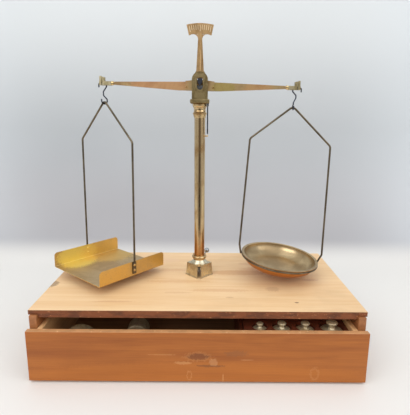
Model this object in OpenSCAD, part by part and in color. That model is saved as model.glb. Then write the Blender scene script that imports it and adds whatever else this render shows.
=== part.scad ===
// Equal-arm column balance on a drawer case, in millimetres.
// The origin is the middle of the case's underside, +X to the right, +Y to the back, +Z up.

/* [Case] */
// Width over the two side panels
case_w = 416; // [360:1:520]
// Depth of the top board, front to back
board_d = 218; // [200:1:280]
// Height of the top board's upper face above the table
case_h = 91; // [85:1:125]
// Thickness of the top board
board_t = 9.5; // [8:0.5:14]
// How far the top board stands past each side panel
board_over = 2; // [0.5:0.5:6]
// Depth of the rebate in the board's underside, over each side panel
rebate_t = 3.5; // [1:0.5:5]
// Thickness of the side panels
side_t = 9.5; // [7:0.5:14]
// How far the side panels stand in front of the board
side_forward = 3.6; // [1:0.1:8]
// Thickness of the back panel
back_t = 8; // [5:0.5:12]
// Thickness of the bottom board
base_t = 5; // [3:0.5:8]
// Height of the bottom board above the table
base_z = 0; // [0:0.5:6]

/* [Drawer] */
// Width of the drawer front
front_w = 419; // [360:1:524]
// Thickness of the drawer front
front_t = 7.8; // [6:0.1:12]
// Drop from the board's upper face to the drawer front's top edge, the finger gap
front_drop = 21.4; // [16:0.1:30]
// Gap between the drawer front and the table
front_gap = 2.5; // [1:0.5:6]
// How far the drawer stands open
drawer_open = 2.4; // [0.5:0.1:10]
// Length of the drawer box behind its front
drawer_len = 197; // [175:1:230]
// Thickness of the drawer's walls
wall_t = 6.5; // [5:0.5:9]
// Gap on each side between the drawer and the case
side_gap = 0.7; // [0.4:0.1:2]
// Gap under the drawer's walls
slide_gap = 0.3; // [0.2:0.1:0.6]
// Thickness of the drawer's bottom panel
floor_t = 3.5; // [2:0.5:5]
// Height of the bottom panel above the walls' lower edge
floor_rise = 3.2; // [2:0.1:5]
// Depth of the groove that holds the bottom panel
groove = 3; // [2:0.5:4]
// Place of the divider's right face, from the middle
divider_x = 58.7; // [50:0.1:70]
// Thickness of the divider
divider_t = 4; // [3:0.5:6]

/* [Weights] */
// Depth of the weight block, front to back
block_d = 66; // [62:1:80]
// Height of the weight block
block_h = 50.8; // [44:0.1:56]
// Distance from the drawer front to the front row of weights
row_front = 22; // [20:0.5:26]
// Distance from the front row to the back row
row_step = 31; // [28:0.5:34]
// Gap round a weight in its hole
hole_gap = 0.6; // [0.3:0.1:1]
// Body diameter of the heaviest weight in the block
weight_d = 30.6; // [26:0.1:32]
// Body diameter of the loose large weight
big_weight_d = 43; // [34:0.5:44]
// Place of the loose large weight, from the middle
big_weight_x = -156; // [-165:1:-120]

/* [Column] */
// How far the column stands behind the middle of the board
column_back = 10; // [-20:1:20]
// Diameter of the column tube
tube_d = 15.4; // [13:0.1:17]
// Wall of the column tube
tube_wall = 1.5; // [1:0.1:2]
// Height of the head plate's underside above the board
column_h = 253.7; // [220:0.1:300]
// Side of the square foot at the board
foot_w = 30; // [28:0.5:36]
// Side of the square foot at its top
foot_top_w = 26.2; // [24:0.1:28]
// Height of the square foot
foot_h = 19.7; // [18:0.1:22]
// Width of the slot through the foot
slot_w = 5; // [4.4:0.1:6]
// Diameter of the lifting rod
rod_d = 4; // [3:0.1:5]
// Running clearance of the rod and the pins, on the radius
fit = 0.08; // [0.04:0.01:0.1]

/* [Head] */
// Side of the square head plate
plate_w = 26.6; // [24:0.1:32]
// Thickness of the head plate
plate_t = 5.3; // [4:0.1:7]
// Width of the fork's cheeks
cheek_w = 22; // [20:0.5:24]
// Thickness of each cheek
cheek_t = 3; // [2.5:0.1:4]
// Gap between the cheeks
fork_gap = 12; // [11:0.1:14]
// Height of the knife line above the head plate
knife_rise = 18; // [16:0.1:20]
// Width of the bearing windows
window_w = 8; // [7.4:0.1:9]
// Radius of the scale's outer edge, from the knife line
scale_r = 83.3; // [70:0.1:100]
// Height of the scale's band
scale_band = 13.8; // [10:0.1:18]
// Half angle of the scale
scale_half = 12.9; // [10:0.1:16]
// Thickness of the scale plate
scale_t = 2.2; // [1.6:0.1:3]

/* [Beam] */
// Arm of the beam, from the centre knife to an end knife
arm = 135; // [115:1:160]
// Tilt of the beam in its rest pose, right side down
beam_tilt = 1.03; // [0:0.01:1.5]
// Thickness of the beam's arms
beam_t = 4.6; // [4:0.1:5.4]
// Thickness of the beam's middle block
boss_t = 9; // [8:0.1:9.6]
// Half length of the beam's middle block
boss_half = 20; // [17:0.5:24]
// Width of each end piece across its cheeks
end_w = 8.4; // [7.6:0.1:10]
// Width of the hook's slot in an end piece
end_slot = 3.6; // [3:0.1:4.4]

/* [Hooks and bows] */
// Wire of the hooks
hook_wire = 1.8; // [1.4:0.1:2.2]
// Wire of the bows and the ring
bow_wire = 2.8; // [2.2:0.1:3.2]
// Running gap at the knives and at the hanging points
edge_gap = 0.1; // [0.05:0.01:0.15]
// Drop from the left knife to the top of the left bow
left_drop = 24.5; // [22:0.1:34]
// Drop from the right knife to the top of the right bow
right_drop = 25.9; // [24:0.1:34]
// Height from the left bow's top down to its shoulders
left_shoulder = 53; // [40:1:65]
// Plan angle of the left bow's plane
left_turn = 140; // [120:1:160]
// Lean of the left bow
left_lean = 0.7; // [0:0.1:1.5]

/* [Pans] */
// Width of the square pan across its flanges
pan_w = 114; // [90:1:120]
// Length of the square pan along its flanges
pan_l = 116; // [90:1:124]
// Height of the flanges
flange_h = 22; // [14:0.5:28]
// Sheet of the square pan
pan_t = 1; // [0.7:0.1:1.6]
// Height of the square pan's underside above the board
pan_lift = 12; // [12:0.5:30]
// Centre radius of the dish's ring
ring_r = 56.2; // [48:0.1:58]
// Tilt of the ring, right side down
ring_tilt = 12.2; // [0:0.1:13]
// Depth of the round dish
dish_depth = 16; // [12:0.5:18]
// Radius of the dish's flat bottom
dish_flat = 35; // [26:0.5:40]
// Wall of the round dish
dish_t = 1.1; // [0.8:0.1:1.6]

/* [Hidden] */
$fn = 64;

BRASS = [0.72, 0.56, 0.30];
OLD_BRASS = [0.52, 0.45, 0.28];
STEEL = [0.45, 0.47, 0.50];
BLUED = [0.20, 0.23, 0.28];
BOW_WIRE = [0.36, 0.33, 0.29];
PALE_WOOD = [0.90, 0.75, 0.56];
SIDE_WOOD = [0.66, 0.46, 0.30];
FRONT_WOOD = [0.67, 0.42, 0.23];

// A small overlap that lets a cut pass a face
cut = 1;
side_x = case_w / 2;
inner_x = side_x - side_t;
board_w = case_w + 2 * board_over;
board_front = -board_d / 2;
board_back = board_d / 2;
board_under = case_h - board_t;
side_front = board_front - side_forward;
side_h = case_h - board_t + rebate_t;

front_back_y = side_front - drawer_open;
front_top = case_h - front_drop;
wall_x = inner_x - side_gap;
wall_inner = wall_x - wall_t;
wall_z = base_z + base_t + slide_gap;
floor_z = wall_z + floor_rise;
floor_top = floor_z + floor_t;
drawer_end = front_back_y + drawer_len;

block_gap = 0.3;
block_x0 = divider_x + block_gap;
block_x1 = wall_inner - block_gap;
block_front = front_back_y + block_gap;
block_top = floor_top + block_h;
row_y = front_back_y + row_front;
back_row_y = row_y + row_step;

// Each kind of weight is sized from the largest one, as the cube root of its mass
function mass_d(grams) = weight_d * pow(grams / 200, 1 / 3);
front_x = [for (share = [0.157, 0.371, 0.600, 0.859]) block_x0 + share * (block_x1 - block_x0)];
back_x = [for (share = [0.11, 0.26, 0.41, 0.55, 0.68, 0.79, 0.89]) block_x0 + share * (block_x1 - block_x0)];

tube_r = tube_d / 2;
tube_bore = tube_d - 2 * tube_wall;
collar_h = 32.4;
collar_low = 25;
spigot_top = 38;
capital_h = 19.7;
capital_low = column_h - capital_h;
tube_top = column_h - 6.7;
plate_top = column_h + plate_t;
knife_h = plate_top + knife_rise;
knife_z = case_h + knife_h;

pin_y = 7;
pin_h = 9;
pin_d = 3;
nose_r = 2;
lever_t = slot_w - 1.6;
rod_low = pin_h + nose_r + 0.3;
boss_low = -6;
saddle_gap = 2.4;
saddle_top = knife_h + boss_low - saddle_gap;
saddle_h = 6;
lever_end = [0, foot_w * 0.74, pin_h + 3];
ball_at = [11.3, foot_w * 0.74 + 9, 28];
ball_d = 8;
screw_x = 9.5;
screw_d = 5;

plumb_at = [10.9, -5.9];
plumb_turn = atan2(plumb_at.y, plumb_at.x);
plumb_r = norm(plumb_at);
plumb_pin_h = column_h - 2.4;
plumb_low = 211.7;
plumb_d = 1.8;
peg_d = 1.8;
peg_sink = 1;

cheek_in = fork_gap / 2;
cheek_out = cheek_in + cheek_t;
window_r = window_w / 2;
window_low = knife_h - 1.2;
window_top = knife_h + 11;
arch_h = knife_h + 8;
boss_high = 8;
web_t = 2.6;
scale_y = cheek_in - 0.6;
knife_half = cheek_out - 0.6;
knife_w = 6.2;

end_in = arm - 12.5;
end_out = arm + 3.9;
end_low = -1.8;
end_high = 3.4;
horn_inner = [arm - 3.1, arm - 0.7, 9];
horn_outer = [arm + 0.9, arm + 3.5, 10.2];
slot_in = arm - 8.5;
neck_in = arm - 18;
collar_x = arm - 15.5;
collar_w = 3;

hook_r = hook_wire / 2;
bow_r = bow_wire / 2;
hook_top = hook_r + edge_gap;
hang = hook_r + bow_r + edge_gap + 0.05;
left_knife_at = [-arm * cos(beam_tilt), arm * sin(beam_tilt)];
right_knife_at = [arm * cos(beam_tilt), -arm * sin(beam_tilt)];
u_left = 4.2;
u_right = 3.4;
left_twist = 42;
left_u_s = 1.0;
left_shank = 0.6;
right_shank = -1;
right_low = -4.1;
left_axis = [left_knife_at.x + left_shank + left_u_s * cos(left_twist), left_u_s * sin(left_twist)];
left_apex_z = left_knife_at.y - left_drop;
right_apex_z = right_knife_at.y - right_drop;
right_axis = [right_knife_at.x + right_low, 0];

pan_half = pan_w / 2;
leg_s = pan_half + bow_r + 0.05;
pan_floor = pan_lift - (knife_h + left_apex_z);
flat_t = 1.6;
rivet_d = 2.2;
rivet_rows = [pan_floor + flange_h - 5.2, pan_floor + flange_h - 12.6];

// The right bow was bent by hand, so its two sides differ. Places are from the top of the bow.
right_points = [
    [47.3, -233.4], [53.6, -221.8], [56.1, -53.5], [0, 1.87],
    [-59.2, -42.7], [-69.6, -195.5], [-67.2, -208.5]
];
ring_at = [-9.95, -220.95];
dish_r = ring_r + 0.8;
dish_seat = bow_r + 0.3;

// Frames of reference
module at_column() {
    translate([0, column_back, case_h]) children();
}

module at_knife() {
    translate([0, column_back, knife_z]) children();
}

module on_beam() {
    at_knife() rotate([0, beam_tilt, 0]) children();
}

module on_left_bow() {
    at_knife()
        translate([left_axis.x, left_axis.y, left_apex_z])
            rotate([0, left_lean, 0])
                rotate([0, 0, left_turn]) children();
}

module on_right_bow() {
    at_knife() translate([right_axis.x, right_axis.y, right_apex_z]) children();
}

module on_ring() {
    on_right_bow() translate([ring_at.x, 0, ring_at.y]) rotate([0, ring_tilt, 0]) children();
}

// Stands an outline up in the XZ plane, thick along Y and centred on it
module upright(t) {
    rotate([90, 0, 0]) linear_extrude(height = t, center = true) children();
}

// A box between two corners
module block(low, high) {
    translate(low) cube(high - low);
}

// Bent wire: a planar line of points in the XZ plane, with a round bend at each inner point.
// A bend is a hair thicker than the wire, and each straight run laps a little way into it.
bend_swell = 1.01;
bend_lap = 0.05;
joint_lap = 0.3;
joint_slim = 0.985;

function unit(v) = v / norm(v);
function turn(a, b) = acos(max(-1, min(1, a * b)));
function heading(a, b) = unit(b - a);

module straight_wire(a, b, d) {
    translate([a.x, a.y, 0])
        rotate([0, 0, atan2(b.y - a.y, b.x - a.x)])
            rotate([0, 90, 0]) cylinder(h = norm(b - a), d = d);
}

module bend_wire(p, u, v, bend, d) {
    angle = turn(u, v);
    centre = p + unit(v - u) * bend / cos(angle / 2);
    left = u.x * v.y - u.y * v.x > 0;
    reach = bend * tan(angle / 2);
    start = left ? p - u * reach - centre : p + v * reach - centre;
    translate([centre.x, centre.y, 0])
        rotate([0, 0, atan2(start.y, start.x)])
            rotate_extrude(angle = angle) translate([bend, 0]) circle(d = d * bend_swell);
}

function bend_reach(points, i, bend) =
    i == 0 || i == len(points) - 1 ? 0
    : bend * tan(turn(heading(points[i - 1], points[i]), heading(points[i], points[i + 1])) / 2);

module bent_wire(points, bend, d) {
    last = len(points) - 1;
    rotate([90, 0, 0]) union() {
        for (i = [0 : last - 1]) {
            u = heading(points[i], points[i + 1]);
            lap0 = i > 0 ? bend_lap : 0;
            lap1 = i < last - 1 ? bend_lap : 0;
            straight_wire(points[i] + u * (bend_reach(points, i, bend) - lap0),
                          points[i + 1] - u * (bend_reach(points, i + 1, bend) - lap1), d);
        }
        for (i = [1 : last - 1]) {
            bend_wire(points[i], heading(points[i - 1], points[i]),
                      heading(points[i], points[i + 1]), bend, d);
        }
    }
}

// Case
module top_board() {
    color(PALE_WOOD) difference() {
        block([-board_w / 2, board_front, board_under], [board_w / 2, board_back, case_h]);
        for (side = [-1, 1]) {
            low_x = side < 0 ? -board_w / 2 - cut : inner_x;
            high_x = side < 0 ? -inner_x : board_w / 2 + cut;
            block([low_x, board_front - cut, board_under - cut], [high_x, board_back + cut, side_h]);
        }
        for (x = [-screw_x, screw_x]) {
            translate([x, column_back, board_under - cut]) cylinder(h = board_t + 2 * cut, d = screw_d);
        }
    }
}

module side_panel(side) {
    color(SIDE_WOOD) mirror([side < 0 ? 1 : 0, 0, 0])
        block([inner_x, side_front, 0], [side_x, board_back, side_h]);
}

module left_side() { side_panel(-1); }
module right_side() { side_panel(1); }

module back_panel() {
    color(SIDE_WOOD) block([-inner_x, board_back - back_t, 0], [inner_x, board_back, board_under]);
}

module bottom_board() {
    color(PALE_WOOD)
        block([-inner_x, board_front, base_z], [inner_x, board_back - back_t, base_z + base_t]);
}

// Drawer
module drawer_front() {
    edge = 0.8;
    color(FRONT_WOOD) intersection() {
        block([-front_w / 2, front_back_y - front_t, front_gap], [front_w / 2, front_back_y, front_top]);
        rotate([90, 0, 90]) linear_extrude(height = front_w + cut, center = true)
            polygon([[front_back_y, front_gap], [front_back_y, front_top],
                     [front_back_y - front_t + edge, front_top],
                     [front_back_y - front_t, front_top - edge],
                     [front_back_y - front_t, front_gap + edge],
                     [front_back_y - front_t + edge, front_gap]]);
    }
}

module drawer_wall(side) {
    color(PALE_WOOD) mirror([side < 0 ? 1 : 0, 0, 0]) difference() {
        block([wall_inner, front_back_y, wall_z], [wall_x, drawer_end, front_top]);
        block([wall_inner - cut, front_back_y - cut, floor_z],
              [wall_inner + groove, drawer_end + cut, floor_top]);
    }
}

module drawer_left_side() { drawer_wall(-1); }
module drawer_right_side() { drawer_wall(1); }

module drawer_back() {
    color(PALE_WOOD)
        block([-wall_inner, drawer_end - wall_t, floor_top], [wall_inner, drawer_end, front_top]);
}

module drawer_bottom() {
    color(PALE_WOOD)
        block([-wall_inner - groove, front_back_y, floor_z], [wall_inner + groove, drawer_end, floor_top]);
}

module drawer_divider() {
    color(PALE_WOOD)
        block([divider_x - divider_t, front_back_y, floor_top],
              [divider_x, drawer_end - wall_t, front_top - 10]);
}

// Knob weights. The body is about as high as it is wide, with a waisted neck and a flat knob.
function knob_d(d) = d * 0.48;
function weight_body(d) = d * 1.0;
function weight_neck(d) = d * 0.1;
function weight_height(d) = weight_body(d) + weight_neck(d) + d * 0.18;

module knob_weight(d) {
    r = d / 2;
    body = weight_body(d);
    neck = weight_neck(d);
    knob = d * 0.18;
    bevel = d * 0.05;
    kr = knob_d(d) / 2;
    rotate_extrude() polygon([
        [0, 0], [r - bevel / 2, 0], [r, bevel / 2], [r, body - bevel], [r - bevel, body],
        [r * 0.42, body], [r * 0.22, body + neck * 0.5], [r * 0.26, body + neck],
        [kr - knob * 0.3, body + neck], [kr, body + neck + knob * 0.3],
        [kr, body + neck + knob * 0.62], [kr - knob * 0.38, body + neck + knob], [0, body + neck + knob]
    ]);
}

// The block's holes are deep enough to leave only the knobs above it
function weight_sink(d) = block_top + d * 0.26 - weight_height(d);

module block_weight(grams, place) {
    d = mass_d(grams);
    color(BRASS) translate([place.x, place.y, weight_sink(d)]) knob_weight(d);
}

front_grams = [50, 100, 100, 200];
back_grams = [20, 10, 10, 5, 2, 2, 1];
front_places = [for (x = front_x) [x, row_y]];
back_places = [for (x = back_x) [x, back_row_y]];

module weight_holes(grams, places) {
    for (i = [0 : len(grams) - 1]) {
        d = mass_d(grams[i]);
        translate([places[i].x, places[i].y, weight_sink(d)])
            cylinder(h = block_h + cut, d = d + 2 * hole_gap);
    }
}

module weight_block() {
    color(SIDE_WOOD) difference() {
        block([block_x0, block_front, floor_top], [block_x1, block_front + block_d, block_top]);
        weight_holes(front_grams, front_places);
        weight_holes(back_grams, back_places);
    }
}

module weight_500g() {
    color(BRASS) translate([big_weight_x, row_y + 4, floor_top]) knob_weight(big_weight_d);
}

module weight_200g() { block_weight(200, front_places[3]); }
module weights_100g() {
    block_weight(100, front_places[1]);
    block_weight(100, front_places[2]);
}
module weight_50g() { block_weight(50, front_places[0]); }
module weight_20g() { block_weight(20, back_places[0]); }
module weights_10g() {
    block_weight(10, back_places[1]);
    block_weight(10, back_places[2]);
}
module weight_5g() { block_weight(5, back_places[3]); }
module weights_2g() {
    block_weight(2, back_places[4]);
    block_weight(2, back_places[5]);
}
module weight_1g() { block_weight(1, back_places[6]); }

// Column
module tapered_square(w0, w1, h) {
    profile = [[-w0 / 2, 0], [w0 / 2, 0], [w1 / 2, h], [-w1 / 2, h]];
    intersection() {
        rotate([90, 0, 0]) linear_extrude(height = w0 + cut, center = true) polygon(profile);
        rotate([90, 0, 90]) linear_extrude(height = w0 + cut, center = true) polygon(profile);
    }
}

module foot_block() {
    plinth = 2.6;
    flare_r = 12.4;
    color(OLD_BRASS) at_column() difference() {
        union() {
            rotate([0, 0, 45]) {
                tapered_square(foot_w, foot_w - 1.4, plinth);
                translate([0, 0, plinth]) tapered_square(foot_w - 1.6, foot_top_w, foot_h - plinth);
            }
            rotate_extrude() polygon([
                [0, foot_h - 2], [flare_r, foot_h - 2], [flare_r, foot_h + 0.6],
                [flare_r - 1.6, foot_h + 2.6], [tube_r + 1.2, collar_low],
                [tube_bore / 2, collar_low], [tube_bore / 2, spigot_top], [0, spigot_top]
            ]);
        }
        block([-slot_w / 2, -foot_w, -cut], [slot_w / 2, foot_w, pin_h + 7]);
        block([-slot_w / 2, -foot_w, 0], [slot_w / 2, -flare_r + 1, foot_h + cut]);
        translate([0, 0, -cut]) cylinder(h = spigot_top + 2 * cut, d = rod_d + 2 * fit);
        translate([0, pin_y, pin_h]) rotate([0, 90, 0]) cylinder(h = 2 * foot_w, d = pin_d, center = true);
        for (x = [-screw_x, screw_x]) {
            translate([x, 0, -cut]) cylinder(h = 8 + cut, d = screw_d);
        }
    }
}

module foot_collar() {
    ring_r0 = 10.9;
    color(BRASS) at_column() rotate_extrude() difference() {
        union() {
            translate([tube_r, collar_low]) square([1.2, collar_h - collar_low]);
            translate([tube_r, collar_low + 1.4]) square([ring_r0 - tube_r - 1.4, collar_h - collar_low - 1.4]);
            translate([ring_r0 - 2.6, collar_low + 4]) circle(r = 2.6);
        }
        translate([0, collar_low - 5]) square([tube_r, 20]);
        translate([tube_r, collar_h]) square([8, 4]);
        translate([tube_r, collar_low - 4]) square([8, 4]);
    }
}

module foot_screws() {
    head_h = 3.2;
    color(STEEL) for (x = [-screw_x, screw_x]) {
        translate([x, column_back, 0]) difference() {
            union() {
                translate([0, 0, board_under - head_h]) cylinder(h = head_h, d = 9);
                translate([0, 0, board_under]) cylinder(h = board_t + 7, d = screw_d);
            }
            block([-cut * 6, -0.6, board_under - head_h - cut], [cut * 6, 0.6, board_under - head_h + 1.2]);
        }
    }
}

module column_tube() {
    color(BRASS) at_column() translate([0, 0, collar_low]) difference() {
        cylinder(h = tube_top - collar_low, d = tube_d);
        translate([0, 0, -cut]) cylinder(h = tube_top - collar_low + 2 * cut, d = tube_bore);
        rotate([0, 0, plumb_turn]) translate([tube_r - peg_sink, 0, plumb_low - 2.6 - collar_low])
            rotate([0, 90, 0]) cylinder(h = tube_r, d = peg_d);
    }
}

// Turned capital: cone, lower ring, hollow neck and upper ring
module capital() {
    neck_r = 8.75;
    low_r = 10;
    high_r = 10.25;
    color(BRASS) at_column() difference() {
        rotate_extrude() difference() {
            polygon([
                [0, capital_low], [tube_r + 0.3, capital_low], [low_r - 0.5, capital_low + 5],
                [low_r, capital_low + 5.6], [low_r, capital_low + 7],
                [low_r - 0.5, capital_low + 7.6], [neck_r, capital_low + 7.8],
                [neck_r, capital_low + 14], [high_r - 0.4, capital_low + 15.8],
                [high_r, capital_low + 16.6], [high_r, capital_low + 18.6],
                [high_r - 0.6, column_h], [0, column_h]
            ]);
            translate([neck_r + 5.4, capital_low + 10.9]) circle(r = 5.9);
        }
        translate([0, 0, capital_low - cut]) cylinder(h = tube_top - capital_low + cut, d = tube_d);
        cylinder(h = column_h + cut, d = rod_d + 2 * fit);
    }
}

module head_plate() {
    bevel = 0.7;
    half = plate_w / 2;
    profile = [[-half, bevel], [-half + bevel, 0], [half - bevel, 0], [half, bevel],
               [half, plate_t - bevel], [half - bevel, plate_t], [-half + bevel, plate_t],
               [-half, plate_t - bevel]];
    color(OLD_BRASS) at_column() difference() {
        translate([0, 0, column_h]) intersection() {
            rotate([90, 0, 0]) linear_extrude(height = plate_w, center = true) polygon(profile);
            rotate([90, 0, 90]) linear_extrude(height = plate_w, center = true) polygon(profile);
        }
        translate([0, 0, column_h - cut]) cylinder(h = plate_t + 2 * cut, d = rod_d + 1);
    }
}

// Peg on the column, under the plumb rod's tip
module index_peg() {
    reach = plumb_r - tube_r + peg_sink;
    color(BRASS) at_column() rotate([0, 0, plumb_turn])
        translate([tube_r - peg_sink, 0, plumb_low - 2.6]) {
            rotate([0, 90, 0]) cylinder(h = reach + 0.6, d = peg_d);
            translate([reach, 0, 0]) cylinder(h = 1.9, d1 = 1.6, d2 = 0.4);
        }
}

module plumb_lug() {
    lug_t = 1.4;
    lug_y = 0.95;
    color(STEEL) at_column() translate([plumb_at.x, plumb_at.y, plumb_pin_h]) {
        block([-1.7, -lug_y - lug_t, -1.5], [1.7, -lug_y, column_h - plumb_pin_h]);
        rotate([-90, 0, 0]) translate([0, 0, -lug_y]) cylinder(h = lug_y + 1.1, d = 1.2);
        rotate([-90, 0, 0]) translate([0, 0, 1.05]) cylinder(h = 0.5, d = 1.9);
    }
}

module plumb_rod() {
    eye_t = 1.4;
    color(BLUED) at_column() translate([plumb_at.x, plumb_at.y, plumb_pin_h]) difference() {
        union() {
            rotate([90, 0, 0]) cylinder(h = eye_t, d = 3.2, center = true);
            translate([0, 0, plumb_low + 1.2 - plumb_pin_h])
                cylinder(h = plumb_pin_h - plumb_low - 1.2, d = plumb_d);
            translate([0, 0, plumb_low - plumb_pin_h]) cylinder(h = 1.2, d1 = 0.5, d2 = plumb_d);
        }
        rotate([90, 0, 0]) cylinder(h = 4, d = 1.2 + 2 * fit, center = true);
        block([-2, eye_t / 2, -2], [2, 2, 2]);
        block([-2, -2, -2], [2, -eye_t / 2, 2]);
    }
}

// Arrest gear
module arrest_lever() {
    bar = 2.2;
    color(STEEL) at_column() difference() {
        union() {
            rotate([90, 0, 90]) linear_extrude(height = lever_t, center = true) union() {
                translate([0, pin_h]) circle(r = nose_r);
                translate([pin_y, pin_h]) circle(r = 3.2);
                polygon([[0, pin_h + nose_r], [0, pin_h - nose_r],
                         [pin_y, pin_h - 3.2], [pin_y, pin_h + 3.2]]);
                polygon([[pin_y, pin_h - 3.2], [lever_end.y, lever_end.z - bar],
                         [lever_end.y + 1.5, lever_end.z - bar + 1], [lever_end.y + 1.5, lever_end.z + bar - 1],
                         [lever_end.y, lever_end.z + bar], [pin_y, pin_h + 3.2]]);
            }
            stalk = ball_at - lever_end;
            translate(lever_end)
                rotate([0, acos(stalk.z / norm(stalk)), atan2(stalk.y, stalk.x)])
                    cylinder(h = norm(stalk) - ball_d / 2 + 0.6, d = 2.6);
        }
        translate([0, pin_y, pin_h]) rotate([0, 90, 0])
            cylinder(h = 4 * lever_t, d = pin_d + 2 * fit, center = true);
        translate(ball_at) sphere(d = ball_d);
    }
}

module lever_ball() {
    color(STEEL) at_column() translate(ball_at) sphere(d = ball_d);
}

module lever_pin() {
    reach = foot_w * 0.44;
    color(STEEL) at_column() translate([0, pin_y, pin_h]) rotate([0, 90, 0])
        cylinder(h = reach, d = pin_d, center = true);
}

module lift_rod() {
    color(STEEL) at_column() translate([0, 0, rod_low])
        cylinder(h = saddle_top - saddle_h - rod_low, d = rod_d);
}

module lift_saddle() {
    half = 4;
    color(STEEL) at_column() translate([0, 0, saddle_top - saddle_h]) upright(6)
        polygon([[-half + 1.4, 0], [half - 1.4, 0], [half, 2], [half, saddle_h - 0.4], [half - 0.4, saddle_h],
                 [-half + 0.4, saddle_h], [-half, saddle_h - 0.4], [-half, 2]]);
}

// Head
module window_outline(grow) {
    translate([0, window_low]) circle(r = window_r + grow);
    translate([-window_r - grow, window_low]) square([window_w + 2 * grow, window_top - window_low]);
}

module cheek_outline(rear) {
    half = cheek_w / 2;
    shoulder = plate_top + 30;
    if (rear) {
        polygon([[-half, plate_top], [half, plate_top], [half, shoulder], [5.3, shoulder + 9.5],
                 [-5.3, shoulder + 9.5], [-half, shoulder]]);
    } else {
        translate([-half, plate_top]) square([cheek_w, arch_h - plate_top]);
        translate([0, arch_h]) circle(r = half);
    }
}

module head_fork() {
    rim = 2.8;
    color(OLD_BRASS) at_column() difference() {
        union() {
            for (side = [-1, 1]) {
                translate([0, side * (cheek_in + cheek_t / 2), 0]) upright(cheek_t) cheek_outline(side > 0);
            }
            block([-cheek_w / 2, -cheek_out, plate_top], [cheek_w / 2, cheek_out, plate_top + web_t]);
            translate([0, -cheek_out, 0]) upright(1.2) intersection() {
                window_outline(rim);
                translate([-cheek_w, plate_top]) square([2 * cheek_w, window_top - plate_top + 0.6]);
            }
        }
        upright(4 * cheek_out) window_outline(0);
        translate([0, 0, plate_top - cut]) cylinder(h = web_t + 2 * cut, d = rod_d + 1);
        translate([0, scale_y + scale_t / 2, 0]) upright(scale_t) stem_foot();
        for (h = screw_rows) {
            translate([0, 0, h]) rotate([-90, 0, 0]) cylinder(h = cheek_out + cut, d = scale_screw_d);
        }
    }
}

scale_screw_d = 2.6;
screw_rows = [plate_top + 31.5, plate_top + 36.5];
stem_low = plate_top + 29.3;

module stem_foot() {
    translate([-5.3, stem_low]) square([10.6, 12]);
}

// Bearing: a steel block that fills the window's round bottom, with a shallow vee for the knife
module bearing(side) {
    vee = 0.7;
    color(STEEL) at_column() translate([0, side * (cheek_in + cheek_out - 0.4) / 2, 0])
        upright(cheek_t - 0.4) difference() {
            intersection() {
                window_outline(0);
                translate([-window_w, window_low - window_w])
                    square([2 * window_w, knife_h + vee - edge_gap - window_low + window_w]);
            }
            polygon([[0, knife_h - edge_gap], [2.2, knife_h + vee - edge_gap + 0.3],
                     [-2.2, knife_h + vee - edge_gap + 0.3]]);
        }
}

module front_bearing() { bearing(-1); }
module rear_bearing() { bearing(1); }

// Scale plate: a stem that tapers up to an arched band, ruled with plain lines
module scale_outline() {
    stem_top = scale_r - scale_band;
    neck = 2.85;
    fillet = 7;
    band_low = stem_top * cos(scale_half) - 0.4;
    rise = stem_low - knife_h;
    difference() {
        union() {
            polygon([[-5.3, rise], [5.3, rise], [5.3, rise + 9.5], [neck, stem_top - 5.5],
                     [neck, stem_top + 2], [-neck, stem_top + 2], [-neck, stem_top - 5.5], [-5.3, rise + 9.5]]);
            difference() {
                intersection() {
                    circle(r = scale_r, $fn = 360);
                    polygon([[0, 0], [scale_r * 1.5 * sin(scale_half), scale_r * 1.5 * cos(scale_half)],
                             [-scale_r * 1.5 * sin(scale_half), scale_r * 1.5 * cos(scale_half)]]);
                }
                circle(r = stem_top, $fn = 360);
            }
            translate([-neck - fillet * 0.9, band_low - 5]) square([2 * neck + 1.8 * fillet, 6.4]);
        }
        for (side = [-1, 1]) {
            translate([side * (neck + fillet), band_low - 5]) circle(r = fillet);
        }
    }
}

module scale_plate() {
    marks = 5;
    step = scale_half * 0.82 / marks;
    groove_w = 0.7;
    groove_deep = 0.35;
    color(BRASS) at_knife() difference() {
        translate([0, scale_y + scale_t / 2, 0]) upright(scale_t) scale_outline();
        for (i = [-marks : marks]) {
            long = i % 5 == 0 ? 8.6 : 6.4;
            rotate([0, i * step, 0]) block([-groove_w / 2, scale_y - cut, scale_r - 2 - long],
                                           [groove_w / 2, scale_y + groove_deep, scale_r - 2]);
        }
        for (h = screw_rows) {
            translate([0, 0, h - knife_h]) rotate([-90, 0, 0])
                cylinder(h = cheek_out + cut, d = scale_screw_d);
        }
    }
}

module scale_screws() {
    head_t = 1.6;
    color(STEEL) at_column() for (h = screw_rows) {
        translate([0, 0, h]) rotate([-90, 0, 0]) difference() {
            union() {
                translate([0, 0, scale_y]) cylinder(h = cheek_out - scale_y, d = scale_screw_d);
                translate([0, 0, cheek_out]) cylinder(h = head_t, d1 = 4.6, d2 = 3.8);
            }
            block([-3, -0.35, cheek_out + head_t - 0.8], [3, 0.35, cheek_out + head_t + cut]);
        }
    }
}

// Beam, drawn level about the knife line
beam_high = [5.4, 3.3];
beam_deep = [-6.6, -0.8];

module beam_outline() {
    step_half = 8;
    for (side = [-1, 1]) {
        polygon([[0, beam_high[0] + 0.6], [side * neck_in, beam_high[1]],
                 [side * neck_in, beam_deep[1]], [0, beam_deep[0] - 1.1]]);
    }
    polygon([[-boss_half, boss_low], [boss_half, boss_low], [boss_half, boss_high - 1.6],
             [boss_half - 4, boss_high - 1.2], [step_half, boss_high], [-step_half, boss_high],
             [-boss_half + 4, boss_high - 1.2], [-boss_half, boss_high - 1.6]]);
}

module knife_outline(grow) {
    half = knife_w / 2 + grow;
    polygon([[0, -grow], [half, 4.6], [half, 10.2 + grow], [-half, 10.2 + grow], [-half, 4.6]]);
}

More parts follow.
